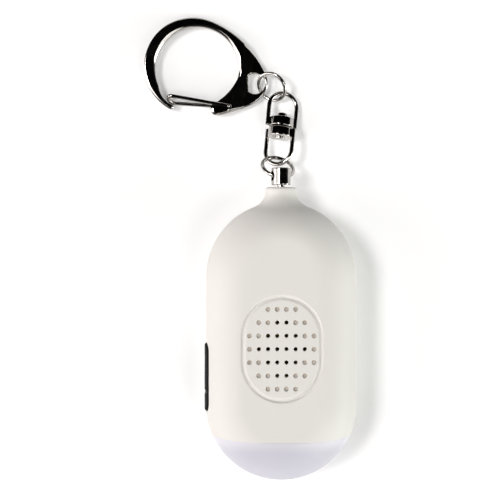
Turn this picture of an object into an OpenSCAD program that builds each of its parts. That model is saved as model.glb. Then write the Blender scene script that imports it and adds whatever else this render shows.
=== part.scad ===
// Personal safety alarm: a pill-shaped housing with a sounder, a lamp end and a pull pin
// that hangs on a swivel chain with a snap hook. It lies on its back: +Z points out of the
// front, +Y towards the neck, and the origin is the middle of the flat back. Millimetres.

/* [Body] */
// Width of the body across its straight sides
body_w = 36; // [34:0.5:40]
// Length of the body without its neck
body_l = 66.5; // [62:0.5:76]
// Thickness of the body from back to front
body_t = 20; // [19:0.5:24]
// Height of the flat band between the rounded edges
side_flat = 1; // [0.5:0.25:3]
// Wall of the two shells
wall = 1.8; // [1.4:0.1:2.2]
// Width of the line that shows where the shells meet
seam_w = 0.2; // [0.1:0.05:0.4]
// Depth of that line
seam_d = 0.25; // [0.1:0.05:0.5]

/* [Neck] */
// Diameter of the neck
neck_d = 7.7; // [6.5:0.1:9]
// Rise of the neck above the end of the body
neck_l = 3.5; // [3:0.1:6]
// Straight part of the neck above its flare
neck_straight = 2.3; // [1.5:0.1:4]
// Radius at the rim of the neck
neck_rim_r = 0.7; // [0.3:0.1:1]
// Radius of the hollow where the neck flares into the body
flare_r = 3; // [2:0.25:4]
// Turn of that hollow before it meets the body
flare_turn = 62; // [45:1:70]

/* [Lamp] */
// Length of the lens from the lamp end to its seam
lens_l = 10.4; // [9:0.2:12]
// Wall of the lens
lens_wall = 2; // [1.4:0.1:2.6]
// Depth of the lip that the lens pushes into the shells
lip_l = 2.6; // [1.5:0.1:4]
// Thickness of that lip
lip_t = 1.2; // [0.8:0.1:1.6]
// Gap between the lip and the shells
lip_gap = 0.12; // [0.05:0.01:0.25]
// Width of the lamp board
lamp_board_w = 22; // [18:0.5:24]
// Height of the lamp board
lamp_board_h = 8; // [6:0.25:9]
// Thickness of the lamp board
lamp_board_t = 1; // [0.8:0.1:1.6]
// Side of each square lamp diode
led_w = 3.5; // [2.5:0.1:5]
// Height of each lamp diode
led_h = 1.9; // [1:0.1:2.5]
// Spacing of the lamp diodes
led_pitch = 7; // [5.5:0.25:8]

/* [Sounder] */
// Middle of the grille along the body
grille_y = -1.4; // [-4:0.1:2]
// Width of the groove round the grille, outside
grille_w = 19.3; // [18:0.1:21]
// Length of the groove round the grille, outside
grille_l = 25.1; // [24:0.1:30]
// Width of the groove
groove_w = 1; // [0.8:0.05:1.6]
// Depth of the groove
groove_d = 0.4; // [0.2:0.05:0.7]
// Spacing of the holes across the body
hole_pitch_x = 2.15; // [2:0.05:2.3]
// Spacing of the holes along the body
hole_pitch_y = 3.1; // [2.6:0.05:3.4]
// Diameter of the open holes
hole_d = 0.95; // [0.6:0.05:1.3]
// Diameter of the blind dimples
dimple_d = 1.1; // [0.6:0.05:1.5]
// Depth of the blind dimples
dimple_depth = 0.9; // [0.3:0.05:1]
// Diameter of the brass sounder disc
disc_d = 27; // [24:0.5:28]
// Thickness of the brass sounder disc
disc_t = 0.4; // [0.3:0.05:0.8]
// Diameter of the ceramic on the disc
ceramic_d = 20; // [15:0.5:22]
// Thickness of the ceramic
ceramic_t = 0.3; // [0.2:0.05:0.6]
// Height of the chamber in front of the disc
chamber_h = 2.4; // [1.6:0.1:3]
// Width of the ledge that the disc is glued to
ledge_w = 1; // [0.6:0.1:1.6]
// Wall round the disc
rim_w = 1.2; // [0.8:0.1:2]

/* [Port cover] */
// Middle of the port cover along the body
cover_y = -8.6; // [-10:0.1:-6]
// Length of the port cover
cover_l = 16.2; // [15.5:0.1:20]
// Width of the port cover
cover_w = 8; // [7.5:0.1:10]
// Radius of the corners of the cover
cover_r = 2; // [1:0.1:3.5]
// How far the cover stands proud of the body
cover_proud = 0.35; // [0.1:0.05:0.6]
// How deep the cover sits in the body
cover_depth = 1.15; // [0.8:0.05:1.3]
// Gap round the cover
cover_gap = 0.2; // [0.15:0.01:0.3]
// Length of the fixed end of the cover, up to its hinge line
anchor_l = 4.6; // [4:0.1:6]
// Width of the hinge line
hinge_gap = 0.3; // [0.2:0.05:0.6]
// Diameter of the stem that holds the fixed end
stem_d = 2; // [1.4:0.1:2.6]

/* [Electronics] */
// Width of the charging socket
usb_w = 8.9; // [8:0.1:9.5]
// Height of the charging socket
usb_h = 3.2; // [2.8:0.1:3.6]
// Depth of the charging socket
usb_d = 7.3; // [6:0.1:9]
// Sheet of the charging socket
usb_wall = 0.3; // [0.2:0.05:0.5]
// Thickness of the tongue in the charging socket
tongue_t = 0.7; // [0.5:0.05:1]
// Thickness of the circuit board
board_t = 1.2; // [0.8:0.1:1.6]
// Gap between the circuit board and the shells
board_margin = 1.2; // [0.6:0.1:2]
// Width of the battery cell
cell_w = 20; // [16:0.5:22]
// Thickness of the foam pad under the cell
pad_t = 0.4; // [0.3:0.05:0.8]
// Free height between the cell and the board
cell_gap = 0.4; // [0.2:0.05:0.8]
// Diameter of the wires
wire_d = 0.9; // [0.7:0.05:1.2]
// Width of the control chip
chip_w = 3.9; // [3:0.1:5]
// Length of the control chip
chip_l = 4.9; // [4.4:0.1:6]
// Height of the control chip
chip_h = 1.6; // [1:0.1:2]
// Pitch of the legs of the control chip
leg_pitch = 1.27; // [0.8:0.01:1.3]
// Diameter of the boost coil
coil_d = 6; // [5:0.1:7]
// Height of the boost coil
coil_h = 4.4; // [3:0.1:5]
// Diameter of the capacitor
can_d = 4.8; // [4:0.1:6]
// Height of the capacitor
can_h = 4.7; // [3.5:0.1:5.4]
// Length of the small chip parts
passive_l = 1.6; // [1:0.1:2]
// Width of the small chip parts
passive_w = 0.8; // [0.5:0.05:1.2]
// Height of the small chip parts
passive_h = 0.6; // [0.3:0.05:0.8]

/* [Screws] */
// Diameter of the screws
screw_d = 2; // [1.6:0.1:2.5]
// Diameter of the screw heads
screw_head_d = 3.6; // [3:0.1:4]
// Height of the screw heads
screw_head_h = 1.3; // [0.8:0.1:1.6]
// Length of the screws under the head
screw_l = 12; // [10:0.5:13]
// Distance of the screws from the inside of the wall
screw_inset = 4.5; // [4:0.1:5.5]
// Diameter of the screw posts
post_d = 6; // [5.2:0.1:6.6]

/* [Pull pin] */
// Diameter of the pin
pin_d = 1.8; // [1.4:0.1:2.4]
// Running clearance of the pin, on the radius
pin_gap = 0.08; // [0.03:0.01:0.1]
// Length of the pin from the rim of the neck to its tip
pin_l = 18; // [15:0.5:20]
// Height of the cap above the rim of the neck
cap_lift = 0.5; // [0.3:0.1:1]
// Diameter of the cap
cap_d = 4.7; // [4:0.1:5.5]
// Length of the cap
cap_l = 4.2; // [3.8:0.1:5.5]
// Bevel at the ends of the cap
cap_bevel = 0.3; // [0.1:0.05:0.5]
// Diameter of the cross hole in the cap
eye_hole_d = 2.4; // [2.2:0.1:2.8]
// Depth that the pin is pressed into the cap
cap_socket = 0.8; // [0.5:0.1:0.9]
// Turn of the cap about the pin as it lies
cap_turn = 18; // [0:1:30]

/* [Rings] */
// Mean radius of the ring in the cap
pin_ring_r = 3.85; // [3.75:0.05:4.2]
// Wire of the ring in the cap
pin_ring_wire = 0.95; // [0.8:0.05:1.05]
// Lean of that ring away from the pin as it lies
pin_ring_lean = 49; // [46:1:52]
// Yaw of that ring in the hole of the cap as it lies
pin_ring_yaw = -2; // [-4:0.5:1]
// Mean radius of the ring in the hook
hook_ring_r = 3.6; // [3.5:0.05:4]
// Wire of the ring in the hook
hook_ring_wire = 0.9; // [0.7:0.05:1]
// Heading of its low side, from the length of the body
hook_ring_heading = 43; // [41:1:46]
// Slit where each ring was closed
ring_slit = 0.15; // [0.05:0.05:0.3]

/* [Swivel] */
// Wire of both bows
bow_wire = 1.1; // [0.9:0.05:1.2]
// Half the distance between the legs of the lower bow
low_bow_r = 3.45; // [3.3:0.05:3.6]
// Length of the lower bow from the gap to its arch
low_bow_l = 9.15; // [8.8:0.05:10.5]
// Half the distance between the legs of the upper bow
up_bow_r = 3.5; // [3.2:0.05:3.7]
// Length of the upper bow from the gap to its arch
up_bow_l = 8.85; // [8.4:0.05:10]
// Thickness of each barrel
barrel_h = 2.2; // [1.6:0.1:2.6]
// How far each barrel runs into the legs
barrel_bite = 0.1; // [0.05:0.05:0.4]
// Gap between the barrels
barrel_gap = 0.4; // [0.3:0.05:0.6]
// Diameter of the rivet
rivet_d = 1.6; // [1.2:0.1:2]
// Running clearance of the rivet, on the radius
rivet_gap = 0.06; // [0.03:0.01:0.1]
// Diameter of the rivet heads
rivet_head_d = 2.4; // [2.2:0.1:3]
// Height of the rivet heads
rivet_head_h = 1.2; // [0.6:0.1:1.4]
// Heading of the swivel, from the length of the body
swivel_heading = 6; // [0:0.5:9]
// Slope of the swivel down to the hook
swivel_slope = 11; // [10:0.25:12]
// Turn of the lower bow as it lies
low_bow_turn = -26; // [-30:1:-23]
// Turn of the upper bow as it lies
up_bow_turn = 15; // [8:1:22]

/* [Hook] */
// Thickness of the hook
hook_t = 3.6; // [3.2:0.1:4]
// Inner radius of the hook
hook_in_r = 10.25; // [9.5:0.25:12]
// Width of the hook's band where it is widest
hook_band = 3.05; // [2.6:0.05:3.5]
// How far the outer round of the band sits off the inner one
hook_shift = 1.25; // [0.9:0.05:1.5]
// Bevel along the edges of the hook
hook_bevel = 0.6; // [0.3:0.05:0.9]
// Distance from the hook's opening to the middle of its eye
eye_reach = 4.35; // [4.2:0.05:5]
// Wall of the eye
eye_wall = 1; // [0.8:0.05:1.2]
// Height of the eye's opening
eye_open = 5; // [4.6:0.1:5.4]
// Distance of the eye's flat side from its middle
eye_flat = 1.6; // [1.4:0.05:1.8]
// Thickness of the hook at its eye
eye_t = 1; // [0.9:0.05:1.1]
// Heading of the hook from the width of the body
hook_heading = -14; // [-20:0.5:-8]
// Wire of the gate
gate_wire = 1; // [0.8:0.05:1.1]
// Running clearance of the gate's ends, on the radius
gate_gap = 0.06; // [0.03:0.01:0.1]
// Distance between the legs of the gate, middle to middle
gate_spread = 2.5; // [2.3:0.05:2.6]
// Clearance of the gate's legs from the hook
gate_clear = 0.12; // [0.08:0.01:0.2]
// Angle that the gate swings in
gate_swing = 28; // [20:1:30]

/* [Hidden] */
$fn = 64;

// Body and its inner levels
half_w = body_w / 2;
end_y = body_l / 2 - half_w;
edge_r = (body_t - side_flat) / 2;
mid_z = body_t / 2;
seam_y = lens_l - body_l / 2;
reach = body_l;
board_top = mid_z - usb_h / 2;
board_z = board_top - board_t;
disc_z = body_t - wall - chamber_h;
neck_top = body_l / 2 + neck_l;

// Screws: two beside the neck and two above the lens, on circles about the body's round ends
screw_r = half_w - wall - screw_inset;
screw_hole_d = screw_d + 0.4;
screw_seat_z = wall + 0.4;
top_screw_a = 54;
low_screw_a = 84;
top_screw_y = end_y + screw_r * cos(top_screw_a);
low_screw_y = -end_y - screw_r * cos(low_screw_a);
screw_points = [for (s = [-1, 1]) each [
    [s * screw_r * sin(top_screw_a), top_screw_y],
    [s * screw_r * sin(low_screw_a), low_screw_y]
]];

// Lamp board: it stands against the end of the circuit board, inside the lip of the lens
lip_in = wall + lip_gap + lip_t;
lamp_board_y = seam_y + 1.4;
board_y0 = lamp_board_y;
board_y1 = end_y + 14;

// Battery cell: it fills the space between the screw posts and under the board
cell_margin = 0.5;
cell_y0 = low_screw_y + post_d / 2 + cell_margin;
cell_y1 = top_screw_y - post_d / 2 - cell_margin;
cell_l = cell_y1 - cell_y0;
cell_z = wall + pad_t;
cell_t = board_z - cell_z - cell_gap;
cell_edge_r = 1.2;

// Port cover, its pocket and the charging socket behind it
pocket_depth = cover_depth + cover_gap;
cover_y0 = cover_y - cover_l / 2;
hinge_y = cover_y0 + anchor_l;
flap_l = cover_l - anchor_l;
usb_y = hinge_y + flap_l / 2;
usb_x = -half_w + pocket_depth + 0.15;
usb_clear = 0.25;

// Pin switch: a block on the board round the inner end of the pin
switch_w = 6;
switch_l = 11;
switch_h = 2 * (mid_z - board_top) + 0.8;
switch_y0 = neck_top - pin_l - 1;
bore_r = pin_d / 2 + pin_gap;

// Places of the parts on the board, right of the charging socket
chip_at = [4, board_y0 + 13.5];
coil_at = [7.5, board_y1 - 25.2];
capacitor_at = [-3, board_y1 - 24.2];
passives_at = [-2, board_y0 + 7.5];
leads_x = 4.5;
lead_wires = [-1, 1];

// Pull pin and the ring in its cap
cap_y0 = neck_top + cap_lift;
eye_hole_at = [0, cap_y0 + cap_l / 2 + 0.1, mid_z];
ring_slack = eye_hole_d / 2 - pin_ring_wire / 2 - 0.3;
pin_ring_out = [
    -cos(pin_ring_lean) * sin(pin_ring_yaw) * cos(cap_turn) - sin(pin_ring_lean) * sin(cap_turn),
    cos(pin_ring_lean) * cos(pin_ring_yaw),
    cos(pin_ring_lean) * sin(pin_ring_yaw) * sin(cap_turn) - sin(pin_ring_lean) * cos(cap_turn)
];
pin_ring_at = eye_hole_at + (pin_ring_r - ring_slack) * pin_ring_out;

// Swivel: its lower arch hangs in the far side of the pin's ring, and its upper arch in the hook's ring
arch_shift = [0.7, -1.62, 0.47];
low_arch_at = pin_ring_at + pin_ring_r * pin_ring_out + arch_shift;
swivel_dir = [
    sin(swivel_heading) * cos(swivel_slope),
    cos(swivel_heading) * cos(swivel_slope),
    -sin(swivel_slope)
];
swivel_at = low_arch_at + low_bow_l * swivel_dir;
up_arch_at = swivel_at + up_bow_l * swivel_dir;
// The hook's ring leans with its low side just off the surface and its middle above the eye's wall
ring_lift = 1.09;
ring_rest = 0.05;
arch_slack = 0.16;
hook_ring_at = [
    up_arch_at[0] - 0.91 * (hook_ring_r - arch_slack),
    up_arch_at[1] + 0.44 * (hook_ring_r - arch_slack),
    hook_t / 2 + ring_lift
];
hook_ring_tilt = asin((hook_ring_at[2] - hook_ring_wire / 2 - ring_rest) / hook_ring_r);

// Hook: its eye hangs in the hook's ring, and it lies flat on the surface
hook_out_r = hook_in_r + hook_band - hook_shift;
band_heading = 160;
eye_x = hook_in_r + eye_reach;
eye_r = eye_open / 2 + eye_wall;
eye_shift = [-1.145, 0.232];
eye_at = [hook_ring_at[0], hook_ring_at[1]] + hook_ring_r * eye_shift;
hook_at = [
    eye_at[0] - eye_x * cos(hook_heading),
    eye_at[1] - eye_x * sin(hook_heading),
    hook_t / 2
];
// The opening's flatter side, the finger beside the gate's root and the full flanks of the tail
flat_r = 1.35 * hook_in_r;
flat_shift = flat_r - 0.91 * hook_in_r;
flat_heading = 138;
finger_at = hook_in_r * [0.76, -0.78];
finger_r = 1.7;
flanks = hook_in_r * [
    [0.491, 0.789], [0.815, 0.627], [1.088, 0.423], [1.34, -0.258], [1.07, -0.44]
];
flank_r = 3;

// Gate: a sprung wire loop whose two ends turn in one hole of the hook
gate_pivot = hook_in_r * [0.962, -0.674];
gate_front_end = hook_in_r * [-0.449, -0.771];
gate_back_end = hook_in_r * [-0.41, -0.902];
gate_bend = 0.9;
gate_z = gate_spread / 2;
web_t = gate_spread - gate_wire - 2 * gate_clear;

// The body's outer form, drawn in by an inset
module edge_half(hw, t, r) {
    intersection() {
        square([hw, t]);
        union() {
            square([hw - r, t]);
            translate([0, r]) square([hw, t - 2 * r]);
            translate([hw - r, r]) circle(r);
            translate([hw - r, t - r]) circle(r);
        }
    }
}

module pill(inset) {
    hw = half_w - inset;
    t = body_t - 2 * inset;
    r = edge_r - inset;
    translate([0, 0, inset]) {
        rotate([90, 0, 0]) linear_extrude(2 * end_y, center = true) {
            edge_half(hw, t, r);
            mirror([1, 0]) edge_half(hw, t, r);
        }
        for (turn = [0, 180]) rotate([0, 0, turn]) translate([0, end_y, 0])
            rotate_extrude(angle = 180) edge_half(hw, t, r);
    }
}

// A flat outline with straight sides and round ends, along X
module slot_outline(l, w) {
    square([l - w, w], center = true);
    for (s = [-1, 1]) translate([s * (l - w) / 2, 0]) circle(w / 2);
}

// A rectangle with round corners
module round_outline(l, w, r) {
    square([l - 2 * r, w], center = true);
    square([l, w - 2 * r], center = true);
    for (sx = [-1, 1], sy = [-1, 1]) translate([sx * (l / 2 - r), sy * (w / 2 - r)]) circle(r);
}

// A cylinder along +Y from a point
module rod_y(at, l, r) {
    translate(at) rotate([-90, 0, 0]) cylinder(h = l, r = r);
}

module neck() {
    root = 5;
    top = root + neck_l;
    flare_top = top - neck_straight;
    flare_w = neck_d / 2 + flare_r * (1 - cos(flare_turn));
    translate([0, body_l / 2 - root, mid_z]) rotate([-90, 0, 0]) rotate_extrude() {
        square([neck_d / 2, top - neck_rim_r]);
        square([neck_d / 2 - neck_rim_r, top]);
        translate([neck_d / 2 - neck_rim_r, top - neck_rim_r]) intersection() {
            circle(neck_rim_r);
            square(neck_rim_r);
        }
        difference() {
            square([flare_w, flare_top]);
            translate([neck_d / 2 + flare_r, flare_top]) circle(flare_r);
        }
    }
}

// Everything that is cut from both shells
module shell_cuts() {
    rod_y([0, body_l / 2 - wall - 2, mid_z], neck_l + wall + 4, bore_r);
    cover_space(cover_depth + cover_gap, cover_gap, 0);
    side_prism(usb_x - 2, 6) translate([usb_y, mid_z])
        slot_outline(usb_w + 2 * usb_clear, usb_h + 2 * usb_clear);
    translate([-half_w - 1, hinge_y - anchor_l / 2, mid_z]) rotate([0, 90, 0])
        cylinder(h = wall + 3, r = stem_d / 2);
    difference() {
        translate([-reach, -reach, mid_z - seam_w / 2]) cube([2 * reach, 2 * reach, seam_w]);
        pill(seam_d);
        translate([-neck_d, body_l / 2 - seam_d, 0]) cube([2 * neck_d, reach, body_t]);
    }
}

module shell_walls() {
    difference() {
        union() {
            pill(0);
            neck();
        }
        pill(wall);
        translate([-reach, seam_y - reach, -1]) cube([2 * reach, reach, body_t + 2]);
    }
}

module side_prism(x, l) {
    translate([x, 0, 0]) rotate([90, 0, 90]) linear_extrude(l) children();
}

// The space of the port cover: from a depth in the body to a height above it, with a gap round it
module cover_space(depth, gap, proud) {
    intersection() {
        difference() {
            pill(-proud - 0.01);
            pill(depth);
        }
        side_prism(-half_w - 1, half_w / 2) translate([cover_y, mid_z])
            round_outline(cover_l + 2 * gap, cover_w + 2 * gap, cover_r + gap);
    }
}

module grille_groove() {
    r = groove_w / 2 + groove_d / 2;
    mid_r = grille_w / 2 - groove_w / 2;
    run = grille_l - grille_w;
    depth = r - groove_d;
    translate([0, grille_y, body_t + depth]) {
        for (s = [-1, 1]) rod_y([s * mid_r, -run / 2, 0], run, r);
        for (turn = [0, 180]) rotate([0, 0, turn]) translate([0, run / 2, 0])
            rotate_extrude(angle = 180) translate([mid_r, 0]) circle(r);
    }
}

// Rows of the grille: how many holes, and how many of the middle ones go right through
grille_rows = [[4, 0], [6, 2], [8, 4], [8, 6], [8, 4], [6, 2], [4, 0]];

module grille_holes() {
    for (i = [0 : len(grille_rows) - 1], j = [0 : grille_rows[i][0] - 1]) {
        total = grille_rows[i][0];
        rim = (total - grille_rows[i][1]) / 2;
        open = j >= rim && j < total - rim;
        depth = open ? wall + 1 : dimple_depth;
        x = (j - (total - 1) / 2) * hole_pitch_x;
        y = grille_y + ((len(grille_rows) - 1) / 2 - i) * hole_pitch_y;
        translate([x, y, body_t - depth]) cylinder(h = depth + 1, d = open ? hole_d : dimple_d, $fn = 24);
    }
}

module front_shell() {
    color("ivory") difference() {
        intersection() {
            union() {
                shell_walls();
                intersection() {
                    pill(wall / 2);
                    union() {
                        for (p = screw_points) translate([p[0], p[1], board_top])
                            cylinder(h = body_t - board_top, d = post_d - 1);
                        translate([0, grille_y, disc_z - disc_t])
                            cylinder(h = body_t - disc_z, d = disc_d + 2 * rim_w);
                    }
                }
            }
            union() {
                translate([-reach, -reach, mid_z]) cube([2 * reach, 2 * reach, body_t]);
                for (p = screw_points) translate([p[0], p[1], board_top]) cylinder(h = mid_z, d = post_d - 1);
            }
        }
        translate([0, grille_y, disc_z - disc_t - 1]) cylinder(h = disc_t + 1, d = disc_d + 0.2);
        translate([0, grille_y, disc_z - 1])
            cylinder(h = body_t - wall - disc_z + 1, d = disc_d - 2 * ledge_w);
        for (p = screw_points) translate([p[0], p[1], board_top - 1])
            cylinder(h = screw_seat_z + screw_l - board_top + 1.5, d = screw_d + 0.04);
        shell_cuts();
        grille_groove();
        grille_holes();
    }
}

module rear_shell() {
    color("ivory") difference() {
        union() {
            intersection() {
                shell_walls();
                translate([-reach, -reach, mid_z - body_t]) cube([2 * reach, 2 * reach, body_t]);
            }
            intersection() {
                pill(wall / 2);
                for (p = screw_points) translate([p[0], p[1], 0]) cylinder(h = board_z, d = post_d);
            }
        }
        for (p = screw_points) translate([p[0], p[1], -1]) {
            cylinder(h = board_z + 2, d = screw_hole_d);
            cylinder(h = screw_seat_z + 1, d = screw_head_d + 0.4);
        }
        shell_cuts();
    }
}

// A slice of the body between two places along its length
module slice(inset, y0, y1) {
    intersection() {
        pill(inset);
        translate([-reach, y0, -1]) cube([2 * reach, y1 - y0, body_t + 2]);
    }
}

module lamp_lens() {
    color("lavender") difference() {
        union() {
            slice(0, -body_l, seam_y);
            slice(wall + lip_gap, seam_y - 1, seam_y + lip_l);
        }
        slice(lens_wall, -body_l, seam_y - lip_t);
        slice(lip_in, seam_y - lip_t - 1, seam_y + lip_l + 1);
    }
}

module sounder_disc() {
    color("goldenrod") translate([0, grille_y, disc_z - disc_t]) cylinder(h = disc_t, d = disc_d);
}

module sounder_ceramic() {
    color("whitesmoke") translate([0, grille_y, disc_z - disc_t - ceramic_t])
        cylinder(h = ceramic_t, d = ceramic_d);
}

// A wire that stands on one level and bends over to another: two quarter turns and three straights
module wire_step(z0, z1, run, turn_r) {
    cylinder(h = z1 - z0 - 2 * turn_r > 0 ? (z1 - z0) / 2 - turn_r : 0.01, d = wire_d);
    translate([0, turn_r, (z1 - z0) / 2 - turn_r]) rotate([0, 90, 0]) rotate([0, 0, 180])
        rotate_extrude(angle = 90) translate([turn_r, 0]) circle(wire_d / 2);
    rod_y([0, turn_r, (z1 - z0) / 2], run, wire_d / 2);
    translate([0, turn_r + run, (z1 - z0) / 2 + turn_r]) rotate([0, 90, 0])
        rotate_extrude(angle = 90) translate([turn_r, 0]) circle(wire_d / 2);
    translate([0, 2 * turn_r + run, (z1 - z0) / 2 + turn_r])
        cylinder(h = (z1 - z0) / 2 - turn_r, d = wire_d);
}

module sounder_leads() {
    top = disc_z - disc_t;
    for (s = lead_wires) color(s > 0 ? "firebrick" : "black")
        translate([leads_x + s * wire_d, grille_y - ceramic_d / 2 - 2.4 - 3, board_top])
            wire_step(board_top, top, 1.5, 1);
}

module circuit_board() {
    half_board = half_w - wall - board_margin;
    tongue_y = seam_y + lip_l + 0.4;
    color("darkgreen") translate([0, 0, board_z]) linear_extrude(board_t) difference() {
        union() {
            intersection() {
                union() {
                    square([2 * half_board, 2 * end_y], center = true);
                    for (s = [-1, 1]) translate([0, s * end_y]) circle(half_board);
                }
                translate([-half_w, tongue_y]) square([body_w, board_y1 - tongue_y]);
            }
            translate([-lamp_board_w / 2, board_y0]) square([lamp_board_w, tongue_y - board_y0 + 1]);
        }
        for (p = screw_points) translate(p) circle(d = screw_hole_d);
    }
}

module control_chip() {
    leg_w = 0.4;
    leg_l = 1.2;
    stand = 0.1;
    color("dimgray") translate([chip_at[0], chip_at[1], board_top]) {
        translate([-chip_w / 2, -chip_l / 2, stand]) cube([chip_w, chip_l, chip_h - stand]);
        for (s = [-1, 1], k = [-1.5 : 1.5])
            translate([s * (chip_w / 2 + leg_l / 2 - stand) - leg_l / 2, k * leg_pitch - leg_w / 2, 0])
                cube([leg_l, leg_w, leg_w]);
    }
}

module boost_coil() {
    flange = 0.8;
    color("saddlebrown") translate([coil_at[0], coil_at[1], board_top]) {
        cylinder(h = flange, d = coil_d);
        cylinder(h = coil_h, d = coil_d - flange);
        translate([0, 0, coil_h - flange]) cylinder(h = flange, d = coil_d);
    }
}

module capacitor() {
    crown = 0.3;
    color("slateblue") translate([capacitor_at[0], capacitor_at[1], board_top]) {
        cylinder(h = can_h - crown, d = can_d);
        cylinder(h = can_h, d = can_d - 3 * crown);
    }
}

module chip_parts() {
    step = [passive_l + 1, passive_w + 1];
    color("tan") for (i = [0 : 3], j = [0, 1])
        translate([passives_at[0] + i * step[0], passives_at[1] + j * step[1], board_top])
            cube([passive_l, passive_w, passive_h]);
}

module usb_socket() {
    color("silver") side_prism(usb_x, usb_d) translate([usb_y, mid_z]) difference() {
        slot_outline(usb_w, usb_h);
        slot_outline(usb_w - 2 * usb_wall, usb_h - 2 * usb_wall);
    }
    color("silver") side_prism(usb_x + usb_d - usb_wall, usb_wall) translate([usb_y, mid_z])
        slot_outline(usb_w, usb_h);
}

module usb_tongue() {
    w = usb_w - 2 * usb_wall - 1.6;
    color("black") translate([usb_x + 0.6, usb_y - w / 2, mid_z - tongue_t / 2])
        cube([usb_d - usb_wall - 0.6, w, tongue_t]);
}

module lamp_board() {
    color("darkgreen") translate([-lamp_board_w / 2, lamp_board_y - lamp_board_t, mid_z - lamp_board_h / 2])
        cube([lamp_board_w, lamp_board_t, lamp_board_h]);
}

module lamp_leds() {
    y = lamp_board_y - lamp_board_t;
    color("khaki") for (k = [-1 : 1]) translate([k * led_pitch, y, mid_z]) {
        translate([-led_w / 2, -led_h, -led_w / 2]) cube([led_w, led_h, led_w]);
        rod_y([0, -led_h - 0.3, 0], 0.4, led_w / 2 - 0.5);
    }
}

module battery_cell() {
    color("silver") translate([0, (cell_y0 + cell_y1) / 2, cell_z]) {
        for (s = [-1, 1])
            rod_y([s * (cell_w / 2 - cell_edge_r), -cell_l / 2, cell_t / 2], cell_l, cell_edge_r);
        translate([cell_edge_r - cell_w / 2, -cell_l / 2, 0])
            cube([cell_w - 2 * cell_edge_r, cell_l, cell_t]);
    }
}

module battery_pad() {
    color("gray") translate([-cell_w / 2 + 2, cell_y0 + 2, wall]) cube([cell_w - 4, cell_l - 4, pad_t]);
}

module battery_leads() {
    z = cell_z + cell_t / 2;
    turn_r = 1;
    for (s = lead_wires) color(s > 0 ? "firebrick" : "black") translate([s * 1.2, cell_y1, z]) {
        rod_y([0, 0, 0], 0.6, wire_d / 2);
        translate([0, 0.6, turn_r]) rotate([0, 90, 0])
            rotate_extrude(angle = 90) translate([turn_r, 0]) circle(wire_d / 2);
        translate([0, 0.6 + turn_r, turn_r]) cylinder(h = board_z - z - turn_r, d = wire_d);
    }
}

module pin_switch() {
    window_l = 7;
    color("black") difference() {
        translate([-switch_w / 2, switch_y0, board_top]) cube([switch_w, switch_l, switch_h]);
        rod_y([0, switch_y0 + 1, mid_z], switch_l, bore_r);
        translate([-1.3, switch_y0 + 2.2, mid_z]) cube([2.6, window_l, switch_h]);
    }
}

module switch_leaf() {
    t = 0.25;
    top = board_top + switch_h - mid_z;
    touch = pin_d / 2 + pin_gap;
    bend = [[0.4, top], [3, top], [6.2, touch], [8.4, touch + 1]];
    color("gold") translate([1, switch_y0, mid_z]) rotate([90, 0, -90]) mirror([1, 0, 0])
        linear_extrude(2)
            polygon([for (p = bend) p, for (i = [3 : -1 : 0]) bend[i] + [0, t]]);
}

module housing_screws() {
    color("lightgray") for (p = screw_points) translate([p[0], p[1], screw_seat_z]) {
        cylinder(h = screw_l, d = screw_d);
        difference() {
            translate([0, 0, -screw_head_h]) cylinder(h = screw_head_h, d = screw_head_d);
            for (turn = [0, 90]) rotate([0, 0, turn])
                translate([-1, -0.2, -screw_head_h - 1]) cube([2, 0.4, 1.6]);
        }
    }
}

// The part of the cover between two places along the body
module cover_part(y0, y1) {
    intersection() {
        cover_space(cover_depth, 0, cover_proud);
        translate([-body_w, y0, 0]) cube([body_w, y1 - y0, body_t]);
    }
}

module port_cover_anchor() {
    stem_x = -half_w + cover_depth;
    color("black") {
        cover_part(cover_y0 - 1, hinge_y - hinge_gap / 2);
        translate([stem_x - 0.4, hinge_y - anchor_l / 2, mid_z]) rotate([0, 90, 0])
            cylinder(h = wall - cover_depth + 1, r = stem_d / 2 - 0.05);
    }
}

module port_cover_flap() {
    color("black") cover_part(hinge_y + hinge_gap / 2, cover_y0 + cover_l + 1);
}

module pin_rod() {
    tip = 0.6;
    groove_y = switch_y0 + 6.2;
    tail = neck_top - pin_l;
    color("silver") difference() {
        union() {
            rod_y([0, tail + tip, mid_z], cap_y0 + cap_socket - tail - tip, pin_d / 2);
            translate([0, tail, mid_z]) rotate([-90, 0, 0])
                cylinder(h = tip, r1 = pin_d / 2 - tip / 2, r2 = pin_d / 2);
        }
        translate([0, groove_y, mid_z]) rotate([-90, 0, 0]) rotate_extrude()
            translate([pin_d / 2 - 0.2, -0.6]) square([1, 1.2]);
    }
}

module pin_cap() {
    color("silver") difference() {
        translate([0, cap_y0, mid_z]) rotate([-90, 0, 0]) {
            cylinder(h = cap_bevel, r1 = cap_d / 2 - cap_bevel, r2 = cap_d / 2);
            translate([0, 0, cap_bevel]) cylinder(h = cap_l - 2 * cap_bevel, d = cap_d);
            translate([0, 0, cap_l - cap_bevel])
                cylinder(h = cap_bevel, r1 = cap_d / 2, r2 = cap_d / 2 - cap_bevel);
        }
        rod_y([0, cap_y0 - 1, mid_z], 1 + cap_socket, pin_d / 2);
        translate(eye_hole_at) rotate([0, cap_turn, 0]) rotate([0, 90, 0])
            cylinder(h = 2 * cap_d, d = eye_hole_d, center = true);
    }
}

// A closed wire ring in its own plane, with the slit where it was closed on +Y
module wire_ring(r, wire) {
    difference() {
        rotate_extrude() translate([r, 0]) circle(wire / 2);
        translate([-ring_slit / 2, 0, -wire]) cube([ring_slit, 2 * r, 2 * wire]);
    }
}

module pin_ring() {
    color("silver") translate(pin_ring_at) rotate([0, cap_turn, 0]) rotate([0, 0, pin_ring_yaw])
        rotate([-pin_ring_lean, 0, 0]) rotate([0, 0, 30]) wire_ring(pin_ring_r, pin_ring_wire);
}

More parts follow.
